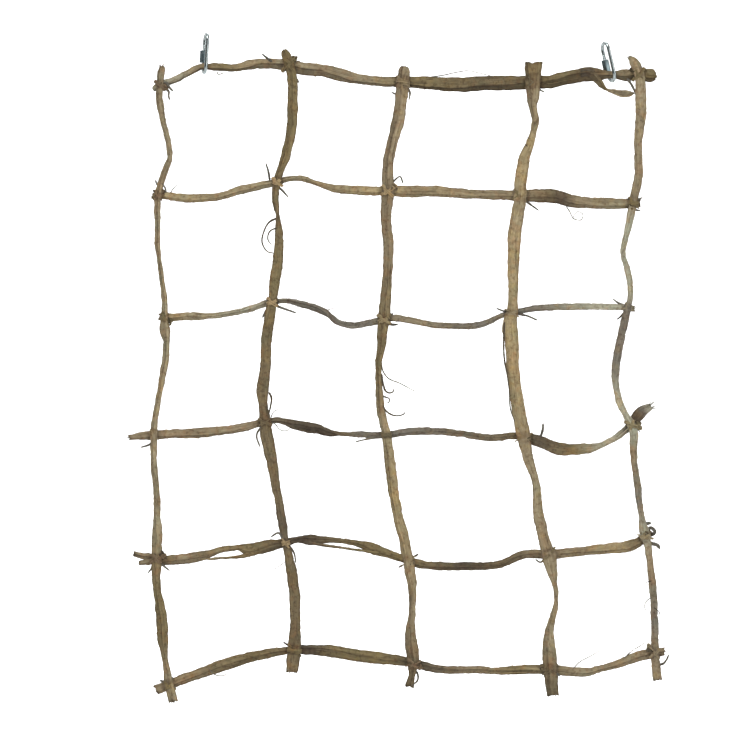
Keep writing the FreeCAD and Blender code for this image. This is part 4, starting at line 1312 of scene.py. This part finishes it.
@dataclass
class QuickLink:
    """A steel link bent from wire, with a threaded leg that a long hexagonal nut closes."""

    side: Side
    wire_finish: bpy.types.Material
    nut_finish: bpy.types.Material
    wire: float = 4.5 * MM
    bend: float = 8.0 * MM
    leg: float = 31.5 * MM
    mouth_low: float = 9.25 * MM
    mouth: float = 6.0 * MM
    nut_length: float = 15.0 * MM
    nut_seat: float = 5.0 * MM
    nut_flats: float = 9.0 * MM
    nut_bore: float = 4.7 * MM
    pitch: float = 0.8 * MM
    thread_depth: float = 0.24 * MM
    thread_low: float = 3.0 * MM
    thread_top: float = 27.0 * MM
    chamfer: float = 0.5 * MM
    right_stand: tuple[float, float, float] = (0.498, 0.0, -0.0475)

    def stand(self) -> Matrix:
        """Find where the link stands.

        Returns:
            The matrix from the link's own axes, with the lower bend's centre at 0, to the net's frame.
        """
        _, lean, turn = self.side.value
        rotation = Matrix.Rotation(math.radians(lean), 4, "Y") @ Matrix.Rotation(math.radians(turn), 4, "Z")
        if self.side is Side.RIGHT:
            return Matrix.Translation(self.right_stand) @ rotation
        eye = Vector((0.0, 0.0, self.leg + self.bend - self.wire / 2))
        return Matrix.Translation(-(rotation @ eye)) @ rotation

    def build(self) -> None:
        """Make the wire and the nut."""
        name = self.side.value[0]
        wire = self._wire(f"{name}_quick_link_wire")
        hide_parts(f"{name}_link_body")
        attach(wire, f"{name}_link")
        nut = self._nut(f"{name}_quick_link_nut")
        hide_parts(f"{name}_link_nut")
        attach(nut, f"{name}_nut")
        LOG.info("%s quick link: wire with threaded ends and sleeve nut", name)

    def _wire(self, name: str) -> bpy.types.Object:
        """Sweep the wire from one side of the mouth round to the other, with its threads.

        Args:
            name: the piece's name.

        Returns:
            The wire.
        """
        b, top, fine, plain = self.bend, self.leg, 0.1 * MM, 0.8 * MM
        route = [(b, z) for z in np.arange(self.mouth_low, self.thread_low, -fine)]
        route += [(b, z) for z in np.arange(self.thread_low, 0.2 * MM, -plain)]
        route += [(b * math.cos(a), b * math.sin(a)) for a in np.linspace(0, -math.pi, 33)]
        route += [(-b, z) for z in np.arange(plain, top - 0.2 * MM, plain)]
        route += [(b * math.cos(a), top + b * math.sin(a)) for a in np.linspace(math.pi, 0, 33)]
        route += [(b, z) for z in np.arange(top - plain, self.thread_top, -plain)]
        route += [(b, z) for z in np.arange(self.thread_top, self.mouth_low + self.mouth, -fine)]
        flat = np.array(route)
        centres = np.column_stack([np.zeros(len(flat)), flat])
        tangents = unit(np.gradient(centres, axis=0))
        sideways = np.broadcast_to(np.array((1.0, 0.0, 0.0)), centres.shape)
        outward = np.cross(tangents, sideways)
        around = 36
        angle = 2 * math.pi * np.arange(around) / around
        height = flat[:, 1]
        threaded = (flat[:, 0] > b - 1e-6) & (height < self.thread_top) & (height > self.thread_low)
        phase = (height[:, None] / self.pitch + angle[None, :] / (2 * math.pi)) % 1.0
        cut = np.abs(2 * phase - 1.0) * self.thread_depth * threaded[:, None]
        ends = np.minimum(lengths_along(centres), lengths_along(centres[::-1])[::-1])
        taper = np.clip(1 - ends / self.chamfer, 0, 1)[:, None] * self.chamfer
        radius = self.wire / 2 - np.maximum(cut, taper)
        rings = (
            centres[:, None, :]
            + (radius * np.cos(angle))[:, :, None] * sideways[:, None, :]
            + (radius * np.sin(angle))[:, :, None] * outward[:, None, :]
        )
        skins = Skins()
        skins.roll(rings, np.ones((*rings.shape[:2], 3)), cut / self.thread_depth)
        bmesh.ops.transform(skins.bm, matrix=self.stand(), verts=skins.bm.verts)
        return skins.finish(name, self.wire_finish, "link_steel")

    def _nut(self, name: str) -> bpy.types.Object:
        """Turn the hexagonal sleeve: chamfered by a cone at each end and bored through.

        Args:
            name: the piece's name.

        Returns:
            The nut.
        """
        corner, bore_radius = self.nut_flats / math.sqrt(3), self.nut_bore / 2
        body = self._hexagon(corner)
        rounding = self._lathe(self.nut_flats / 2 - 0.05 * MM, corner + 0.2 * MM, 0.0, 0.62 * MM)
        bore = self._lathe(bore_radius + 0.5 * MM, bore_radius, 0.1 * MM, 0.45 * MM)
        for tool, operation in ((rounding, "INTERSECT"), (bore, "DIFFERENCE")):
            cut = body.modifiers.new(operation.lower(), "BOOLEAN")
            cut.operation, cut.object, cut.solver = operation, tool, "EXACT"
        bevel = body.modifiers.new("edges", "BEVEL")
        bevel.width, bevel.segments, bevel.limit_method = 0.12 * MM, 2, "ANGLE"
        bevel.angle_limit = math.radians(25)
        view = bpy.context.evaluated_depsgraph_get()
        mesh = bpy.data.meshes.new_from_object(body.evaluated_get(view))
        for tool in (body, rounding, bore):
            bpy.data.objects.remove(tool)
        seat = Matrix.Translation((0.0, self.bend, self.nut_seat))
        mesh.transform(self.stand() @ seat)
        shade_smooth(mesh, 28)
        mesh.name = name
        mesh.materials.clear()
        mesh.materials.append(self.nut_finish)
        nut = place_object(name, mesh)
        return nut

    def _hexagon(self, radius: float) -> bpy.types.Object:
        """Stand a hexagonal prism as long as the nut on its end.

        Args:
            radius: from the prism's middle to a corner.

        Returns:
            The prism.
        """
        bm = bmesh.new()
        made = bmesh.ops.create_cone(
            bm, cap_ends=True, segments=6, radius1=radius, radius2=radius, depth=self.nut_length
        )
        turned = Matrix.Rotation(math.radians(30), 4, "Z")
        lift = Matrix.Translation((0.0, 0.0, self.nut_length / 2)) @ turned
        bmesh.ops.transform(bm, matrix=lift, verts=made["verts"])
        return mesh_object("nut_blank", bm)

    def _lathe(self, end_radius: float, radius: float, over: float, slope: float) -> bpy.types.Object:
        """Turn a round solid with a cone at each end.

        Args:
            end_radius: radius at both ends.
            radius: radius between the cones.
            over: how far the solid stands out of the nut at each end.
            slope: how deep in the nut the cones end.

        Returns:
            The solid, which cuts the nut.
        """
        top = self.nut_length
        profile = [(end_radius, -over), (radius, slope), (radius, top - slope), (end_radius, top + over)]
        outline = [(0.0, profile[0][1]), *profile, (0.0, profile[-1][1])]
        bm = bmesh.new()
        verts = [bm.verts.new((r, 0.0, z)) for r, z in outline]
        edges = [bm.edges.new(pair) for pair in zip(verts, verts[1:])]
        bmesh.ops.spin(
            bm, geom=verts + edges, cent=(0, 0, 0), axis=(0, 0, 1), dvec=(0, 0, 0), angle=2 * math.pi,
            steps=64, use_merge=True, use_duplicate=False,
        )
        bmesh.ops.remove_doubles(bm, verts=bm.verts[:], dist=1e-7)
        bmesh.ops.recalc_face_normals(bm, faces=bm.faces[:])
        return mesh_object("nut_tool", bm)


class Graph:
    """Short ways to add and join the nodes of one tree."""

    def __init__(self, tree: bpy.types.NodeTree) -> None:
        """Start from an empty tree."""
        self.tree = tree
        tree.nodes.clear()

    def add(self, kind: str, **settings: object) -> bpy.types.Node:
        """Add a node and set it up.

        Args:
            kind: the node's type.
            settings: properties by name, and inputs by name with "in_" before it.

        Returns:
            The node.
        """
        node = self.tree.nodes.new(kind)
        for key, value in settings.items():
            if not key.startswith("in_"):
                setattr(node, key, value)
        for key, value in settings.items():
            if key.startswith("in_"):
                label = key.removeprefix("in_")
                self.feed(value, node.inputs[int(label) if label.isdigit() else label.replace("_", " ")])
        return node

    def feed(self, value: object, socket: bpy.types.NodeSocket) -> None:
        """Give an input what it takes.

        Args:
            value: the output that it is joined to, or a plain value.
            socket: the input.
        """
        if isinstance(value, bpy.types.NodeSocket):
            self.tree.links.new(value, socket)
        else:
            socket.default_value = value

    def math(self, operation: str, first: object, second: object = 0.5) -> bpy.types.NodeSocket:
        """The result of a sum on two values or sockets."""
        return self.add("ShaderNodeMath", operation=operation, in_0=first, in_1=second).outputs[0]

    def ramp(self, value: bpy.types.NodeSocket, low: float, high: float, out: tuple[float, float]) -> object:
        """Stretch a value from one range to another and keep it there.

        Args:
            value: the value.
            low: start of the value's range.
            high: end of the value's range.
            out: start and end of the result's range.

        Returns:
            The result.
        """
        node = self.add("ShaderNodeMapRange", in_Value=value, in_From_Min=low, in_From_Max=high)
        node.inputs["To Min"].default_value, node.inputs["To Max"].default_value = out
        return node.outputs[0]

    def blend(self, kind: str, factor: object, first: object, second: object) -> bpy.types.NodeSocket:
        """Mix two colours.

        Args:
            kind: how they are mixed.
            factor: how much of the mix there is, from 0 to 1.
            first: the colour at 0.
            second: the colour that is mixed in.

        Returns:
            The mixed colour.
        """
        node = self.add("ShaderNodeMix", data_type="RGBA", blend_type=kind, clamp_factor=True)
        for number, value in ((0, factor), (6, first), (7, second)):
            self.feed(value, node.inputs[number])
        return node.outputs[2]

    def noise(
        self, vector: object, scale: float, detail: float, roughness: float = 0.5
    ) -> bpy.types.NodeSocket:
        """Add a noise texture.

        Args:
            vector: the place that it is sampled at.
            scale: how many cells there are to a unit.
            detail: how many finer layers it has.
            roughness: how strong they are.

        Returns:
            Its value.
        """
        node = self.add("ShaderNodeTexNoise", in_Scale=scale, in_Detail=detail, in_Roughness=roughness)
        self.feed(vector, node.inputs["Vector"])
        return node.outputs[0]

    def scaled(self, vector: object, *factors: float | bpy.types.NodeSocket) -> bpy.types.NodeSocket:
        """Scale a place along its first axes, and flatten it along those that have no factor.

        Args:
            vector: the place.
            factors: one for each axis.

        Returns:
            The scaled place.
        """
        axes = self.add("ShaderNodeSeparateXYZ", in_Vector=vector)
        joined = self.add("ShaderNodeCombineXYZ")
        for axis, factor in enumerate(factors):
            self.feed(self.math("MULTIPLY", axes.outputs[axis], factor), joined.inputs[axis])
        return joined.outputs[0]


def node_group(name: str, inputs: dict[str, str], outputs: dict[str, str]) -> tuple[Graph, object, object]:
    """Start a shader node group.

    Args:
        name: the group's name.
        inputs: socket types by name.
        outputs: socket types by name.

    Returns:
        Its graph, its input node and its output node.
    """
    tree = bpy.data.node_groups.new(name, "ShaderNodeTree")
    for direction, sockets in (("INPUT", inputs), ("OUTPUT", outputs)):
        for label, kind in sockets.items():
            tree.interface.new_socket(name=label, in_out=direction, socket_type=kind)
    graph = Graph(tree)
    return graph, graph.add("NodeGroupInput"), graph.add("NodeGroupOutput")


def fibre_group() -> bpy.types.NodeTree:
    """Draw long fibres along a strip's map.

    Returns:
        The group, with broad fibres, thin fibres and cracks across them as values.
    """
    graph, inside, out = node_group(
        "plant fibres",
        {"Map": "NodeSocketVector", "Across": "NodeSocketFloat", "Along": "NodeSocketFloat"},
        {"Broad": "NodeSocketFloat", "Thin": "NodeSocketFloat", "Cracks": "NodeSocketFloat"},
    )
    strip_map = inside.outputs["Map"]
    stretched = graph.scaled(strip_map, inside.outputs["Across"], inside.outputs["Along"])
    broad = graph.noise(stretched, 1.0, 2.0, 0.55)
    thin = graph.noise(stretched, 3.4, 3.0, 0.65)
    crossed = graph.scaled(strip_map, 260.0, 420.0)
    cracks = graph.ramp(graph.noise(crossed, 1.0, 2.0), 0.60, 0.72, (0.0, 1.0))
    for name, value in (("Broad", broad), ("Thin", thin), ("Cracks", cracks)):
        graph.feed(value, out.inputs[name])
    return graph.tree


@dataclass(frozen=True)
class Stain:
    """Patches of another tint: their noise, the range of it that they fade in over, and their strength."""

    scale: float
    detail: float
    low: float
    high: float
    strength: float
    tint: tuple[float, float, float, float]


GREY = Stain(55.0, 3.0, 0.50, 0.68, 0.60, (0.86, 0.97, 0.98, 1.0))
RED = Stain(120.0, 2.0, 0.55, 0.68, 0.55, (1.10, 0.87, 0.77, 1.0))
GOLD = Stain(85.0, 2.0, 0.54, 0.68, 0.50, (1.20, 1.10, 0.84, 1.0))
BLOTCH = Stain(300.0, 3.0, 0.52, 0.66, 0.75, (0.60, 0.54, 0.51, 1.0))
# Tint that hollows and cracks are darkened towards: painted shade in the hollows, dark marks in the cracks.
DEEP_GROOVE = (0.40, 0.31, 0.28, 1.0)


def stains_and_shade_group() -> bpy.types.NodeTree:
    """Streak and stain the colour of a fibre, and darken its hollows: painted shade in grooves, along laps
    and round crossings, with dark flecks, cracks and dirt.

    Returns:
        The group, with the streaked, stained and shaded colour.
    """
    graph, inside, out = node_group(
        "stained and shaded fibre",
        {"Tone": "NodeSocketColor", "Hollow": "NodeSocketFloat", "Broad": "NodeSocketFloat",
         "Thin": "NodeSocketFloat", "Cracks": "NodeSocketFloat", "Place": "NodeSocketVector"},
        {"Color": "NodeSocketColor"},
    )
    broad = graph.ramp(inside.outputs["Broad"], 0.30, 0.70, (0.86, 1.13))
    thin = graph.ramp(inside.outputs["Thin"], 0.30, 0.72, (0.74, 1.22))
    streaks = graph.math("MULTIPLY", broad, thin)
    streak_colour = graph.add("ShaderNodeCombineColor", in_0=streaks, in_1=streaks, in_2=streaks).outputs[0]
    colour = graph.blend("MULTIPLY", 1.0, inside.outputs["Tone"], streak_colour)
    for stain in (GREY, RED, GOLD, BLOTCH):
        patches = graph.noise(inside.outputs["Place"], stain.scale, stain.detail)
        share = graph.ramp(patches, stain.low, stain.high, (0.0, stain.strength))
        colour = graph.blend("MIX", share, colour, graph.blend("MULTIPLY", 1.0, colour, stain.tint))
    # Darken the hollows, which is painted shade, and the cracks, which are marks of the fibre.
    hollow = graph.math("MULTIPLY", inside.outputs["Hollow"], 0.72)
    dark = graph.math("MAXIMUM", hollow, graph.math("MULTIPLY", inside.outputs["Cracks"], 0.30))
    sunk = graph.blend("MIX", dark, colour, graph.blend("MULTIPLY", 1.0, colour, DEEP_GROOVE))
    graph.feed(sunk, out.inputs["Color"])
    return graph.tree


def metal_wear_group() -> bpy.types.NodeTree:
    """Spread zinc bloom and fine scratches over steel.

    Returns:
        The group, with both as values.
    """
    graph, inside, out = node_group(
        "zinc wear",
        {"Place": "NodeSocketVector"},
        {"Bloom": "NodeSocketFloat", "Scratches": "NodeSocketFloat"},
    )
    bloom = graph.ramp(graph.noise(inside.outputs["Place"], 900.0, 3.0), 0.40, 0.65, (0.0, 1.0))
    scratches = graph.noise(graph.scaled(inside.outputs["Place"], 9000.0, 9000.0, 500.0), 1.0, 2.0)
    graph.feed(bloom, out.inputs["Bloom"])
    graph.feed(scratches, out.inputs["Scratches"])
    return graph.tree


def start_material(name: str) -> tuple[bpy.types.Material, Graph, bpy.types.Node]:
    """Start a material with one surface shader.

    Args:
        name: the material's name.

    Returns:
        The material, its graph and its shader.
    """
    material = bpy.data.materials.new(name)
    material.use_nodes = True
    graph = Graph(material.node_tree)
    shader = graph.add("ShaderNodeBsdfPrincipled")
    graph.add("ShaderNodeOutputMaterial", in_Surface=shader.outputs[0])
    return material, graph, shader


@dataclass(frozen=True)
class FibreFinish:
    """Dried plant fibre: bark strips and twine."""

    name: str
    across: float
    along: float
    roughness: tuple[float, float]
    relief: float

    def make(self, fibres: bpy.types.NodeTree, stains_and_shade: bpy.types.NodeTree) -> bpy.types.Material:
        """Build the material.

        Args:
            fibres: the group of long fibres.
            stains_and_shade: the group of streaked, stained and shaded colour.

        Returns:
            The material.
        """
        material, graph, shader = start_material(self.name)
        shader.inputs["IOR"].default_value = 1.42
        shader.inputs["Specular IOR Level"].default_value = 0.28
        strip_map = graph.add("ShaderNodeUVMap", uv_map="UVMap").outputs[0]
        place = graph.add("ShaderNodeTexCoord").outputs["Object"]
        tone = graph.add("ShaderNodeAttribute", attribute_name="tone").outputs["Color"]
        hollow = graph.add("ShaderNodeAttribute", attribute_name="hollow").outputs["Fac"]
        threads = graph.add(
            "ShaderNodeGroup", node_tree=fibres, in_Map=strip_map, in_Across=self.across, in_Along=self.along
        )
        aged_and_shaded = graph.add(
            "ShaderNodeGroup", node_tree=stains_and_shade, in_Tone=tone, in_Hollow=hollow, in_Place=place
        )
        broad, thin, cracks = (threads.outputs[label] for label in ("Broad", "Thin", "Cracks"))
        for value in (broad, thin, cracks):
            graph.feed(value, aged_and_shaded.inputs[value.name])
        graph.feed(aged_and_shaded.outputs["Color"], shader.inputs["Base Color"])
        graph.feed(graph.ramp(thin, 0.3, 0.7, self.roughness), shader.inputs["Roughness"])
        height = graph.math("ADD", graph.math("MULTIPLY", broad, 0.5), thin)
        height = graph.math("SUBTRACT", height, graph.math("MULTIPLY", cracks, 0.35))
        bump = graph.add("ShaderNodeBump", in_Strength=0.85, in_Distance=self.relief, in_Height=height)
        graph.feed(bump.outputs[0], shader.inputs["Normal"])
        return material


UPRIGHT_BARK = FibreFinish("bark of the uprights", 900.0, 34.0, (0.72, 0.94), 0.30 * MM)
CROSSPIECE_BARK = FibreFinish("bark of the crosspieces", 820.0, 30.0, (0.74, 0.95), 0.32 * MM)
TWINE = FibreFinish("raffia twine", 2200.0, 60.0, (0.66, 0.90), 0.18 * MM)


@dataclass(frozen=True)
class SteelFinish:
    """Zinc-plated steel."""

    name: str
    colour: tuple[float, float, float]
    bloom: tuple[float, float, float]
    roughness: tuple[float, float]
    scratch_depth: float = 0.04 * MM

    def make(self, wear: bpy.types.NodeTree) -> bpy.types.Material:
        """Build the material.

        Args:
            wear: the group of bloom and scratches.

        Returns:
            The material.
        """
        material, graph, shader = start_material(self.name)
        shader.inputs["Metallic"].default_value = 1.0
        place = graph.add("ShaderNodeTexCoord").outputs["Object"]
        worn = graph.add("ShaderNodeGroup", node_tree=wear, in_Place=place)
        colour = graph.blend("MIX", worn.outputs["Bloom"], (*self.colour, 1.0), (*self.bloom, 1.0))
        graph.feed(colour, shader.inputs["Base Color"])
        scratches = worn.outputs["Scratches"]
        graph.feed(graph.ramp(scratches, 0.3, 0.7, self.roughness), shader.inputs["Roughness"])
        bump = graph.add(
            "ShaderNodeBump", in_Strength=0.25, in_Distance=self.scratch_depth, in_Height=scratches
        )
        graph.feed(bump.outputs[0], shader.inputs["Normal"])
        return material


LINK_STEEL = SteelFinish("zinc-plated wire", (0.20, 0.235, 0.235), (0.36, 0.39, 0.39), (0.16, 0.30))
NUT_STEEL = SteelFinish("zinc-plated nut", (0.09, 0.12, 0.13), (0.17, 0.21, 0.22), (0.20, 0.36))


@dataclass
class Studio:
    """A plain pale floor that sweeps up behind, soft light and the camera."""

    floor_height: float = -1.02
    back_wall: float = 4.2
    half_width: float = 4.5
    front_edge: float = -4.5
    wall_height: float = 4.0
    bend: float = 1.2
    lens: float = 100.0
    frame_width: float = 0.9225
    aim: tuple[float, float, float] = (0.2073, 0.0, -0.4170)

    def build(self) -> None:
        """Set up the room, the lights and the camera."""
        self._sweep()
        self._light_room()
        self._camera()
        scene = bpy.context.scene
        scene.view_settings.view_transform = "Standard"
        LOG.info("studio ready")

    def _sweep(self) -> None:
        """Make the floor and the wall behind as one sheet with a round bend."""
        bm = bmesh.new()
        corners = [(-self.half_width, self.front_edge), (self.half_width, self.front_edge)]
        front = [bm.verts.new((x, y, self.floor_height)) for x, y in corners]
        edge = bm.edges.new(front)
        floor = bmesh.ops.extrude_edge_only(bm, edges=[edge])["geom"]
        moved = [item for item in floor if isinstance(item, bmesh.types.BMVert)]
        bmesh.ops.translate(bm, vec=(0.0, self.back_wall - self.front_edge, 0.0), verts=moved)
        edges = [item for item in floor if isinstance(item, bmesh.types.BMEdge)]
        fold = next(item for item in edges if not item.link_faces[1:] and all(v in moved for v in item.verts))
        wall = bmesh.ops.extrude_edge_only(bm, edges=[fold])["geom"]
        raised = [item for item in wall if isinstance(item, bmesh.types.BMVert)]
        bmesh.ops.translate(bm, vec=(0.0, 0.0, self.wall_height), verts=raised)
        bmesh.ops.bevel(
            bm, geom=[fold], offset=self.bend, offset_type="OFFSET", affect="EDGES", segments=24,
            profile=0.5, material=-1,
        )
        bmesh.ops.recalc_face_normals(bm, faces=bm.faces[:])
        sheet = mesh_object("pale_sweep", bm)
        sheet.data.polygons.foreach_set("use_smooth", [True] * len(sheet.data.polygons))
        paint = bpy.data.materials.new("pale paper")
        paint.use_nodes = True
        shader = paint.node_tree.nodes["Principled BSDF"]
        shader.inputs["Base Color"].default_value = (0.93, 0.93, 0.93, 1.0)
        shader.inputs["Roughness"].default_value = 0.9
        shader.inputs["Specular IOR Level"].default_value = 0.1
        sheet.data.materials.append(paint)

    def _light_room(self) -> None:
        """Fill the room with even light, and add broad soft lamps in front and above."""
        world = bpy.data.worlds.new("soft room")
        world.use_nodes = True
        graph = Graph(world.node_tree)
        axes = graph.add("ShaderNodeSeparateXYZ", in_0=graph.add("ShaderNodeTexCoord").outputs["Generated"])
        depth = graph.ramp(axes.outputs["Y"], -0.75, 0.05, (0.16, 0.85))
        height = graph.ramp(axes.outputs["Z"], -0.5, 0.5, (0.35, 1.1))
        strength = graph.math("MULTIPLY", depth, height)
        background = graph.add("ShaderNodeBackground", in_Color=(1.0, 1.0, 1.0, 1.0), in_Strength=strength)
        graph.add("ShaderNodeOutputWorld", in_Surface=background.outputs[0])
        bpy.context.scene.world = world
        wall_aim = (0.2, self.back_wall, -0.4)
        for name, place, size, power, aim in (
            ("key", (-0.9, -2.1, 2.2), 1.8, 122.0, self.aim),
            ("fill", (2.4, -2.2, 0.2), 2.2, 40.0, self.aim),
            ("wall wash", (0.2, 1.6, 2.4), 3.0, 190.0, wall_aim),
        ):
            lamp = bpy.data.lights.new(name, "AREA")
            lamp.shape, lamp.size, lamp.energy = "DISK", size, power
            item = place_object(name, lamp)
            item.location = place
            item.rotation_euler = (Vector(aim) - Vector(place)).to_track_quat("-Z", "Y").to_euler()

    def _camera(self) -> None:
        """Look straight at the middle of the net."""
        data = bpy.data.cameras.new("camera")
        data.lens = self.lens
        distance = self.frame_width * self.lens / data.sensor_width
        camera = place_object("camera", data)
        camera.location = Vector(self.aim) + Vector((0.0, -distance, 0.0))
        camera.rotation_euler = (math.radians(90), 0.0, 0.0)
        data.clip_end = 50.0
        bpy.context.scene.camera = camera


def main() -> None:
    """Build the net piece by piece, then the room."""
    logging.basicConfig(level=logging.INFO, format="%(name)s: %(message)s")
    fibres, stains_and_shade, wear = fibre_group(), stains_and_shade_group(), metal_wear_group()
    uprights = Uprights(UPRIGHT_BARK.make(fibres, stains_and_shade))
    crosspieces = Crosspieces(CROSSPIECE_BARK.make(fibres, stains_and_shade))
    twine = TWINE.make(fibres, stains_and_shade)
    link_steel, nut_steel = LINK_STEEL.make(wear), NUT_STEEL.make(wear)
    uprights.prepare()
    crosspieces.prepare()
    crossings = {
        (column, row): Crossing(upright, crosspiece)
        for column, upright in uprights.strips.items()
        for row, crosspiece in crosspieces.strips.items()
    }
    crosspieces.build()
    uprights.build(crossings)
    Lashings(twine).build(crossings)
    for side in Side:
        QuickLink(side, link_steel, nut_steel).build()
    Studio().build()


if __name__ == "__main__":
    main()
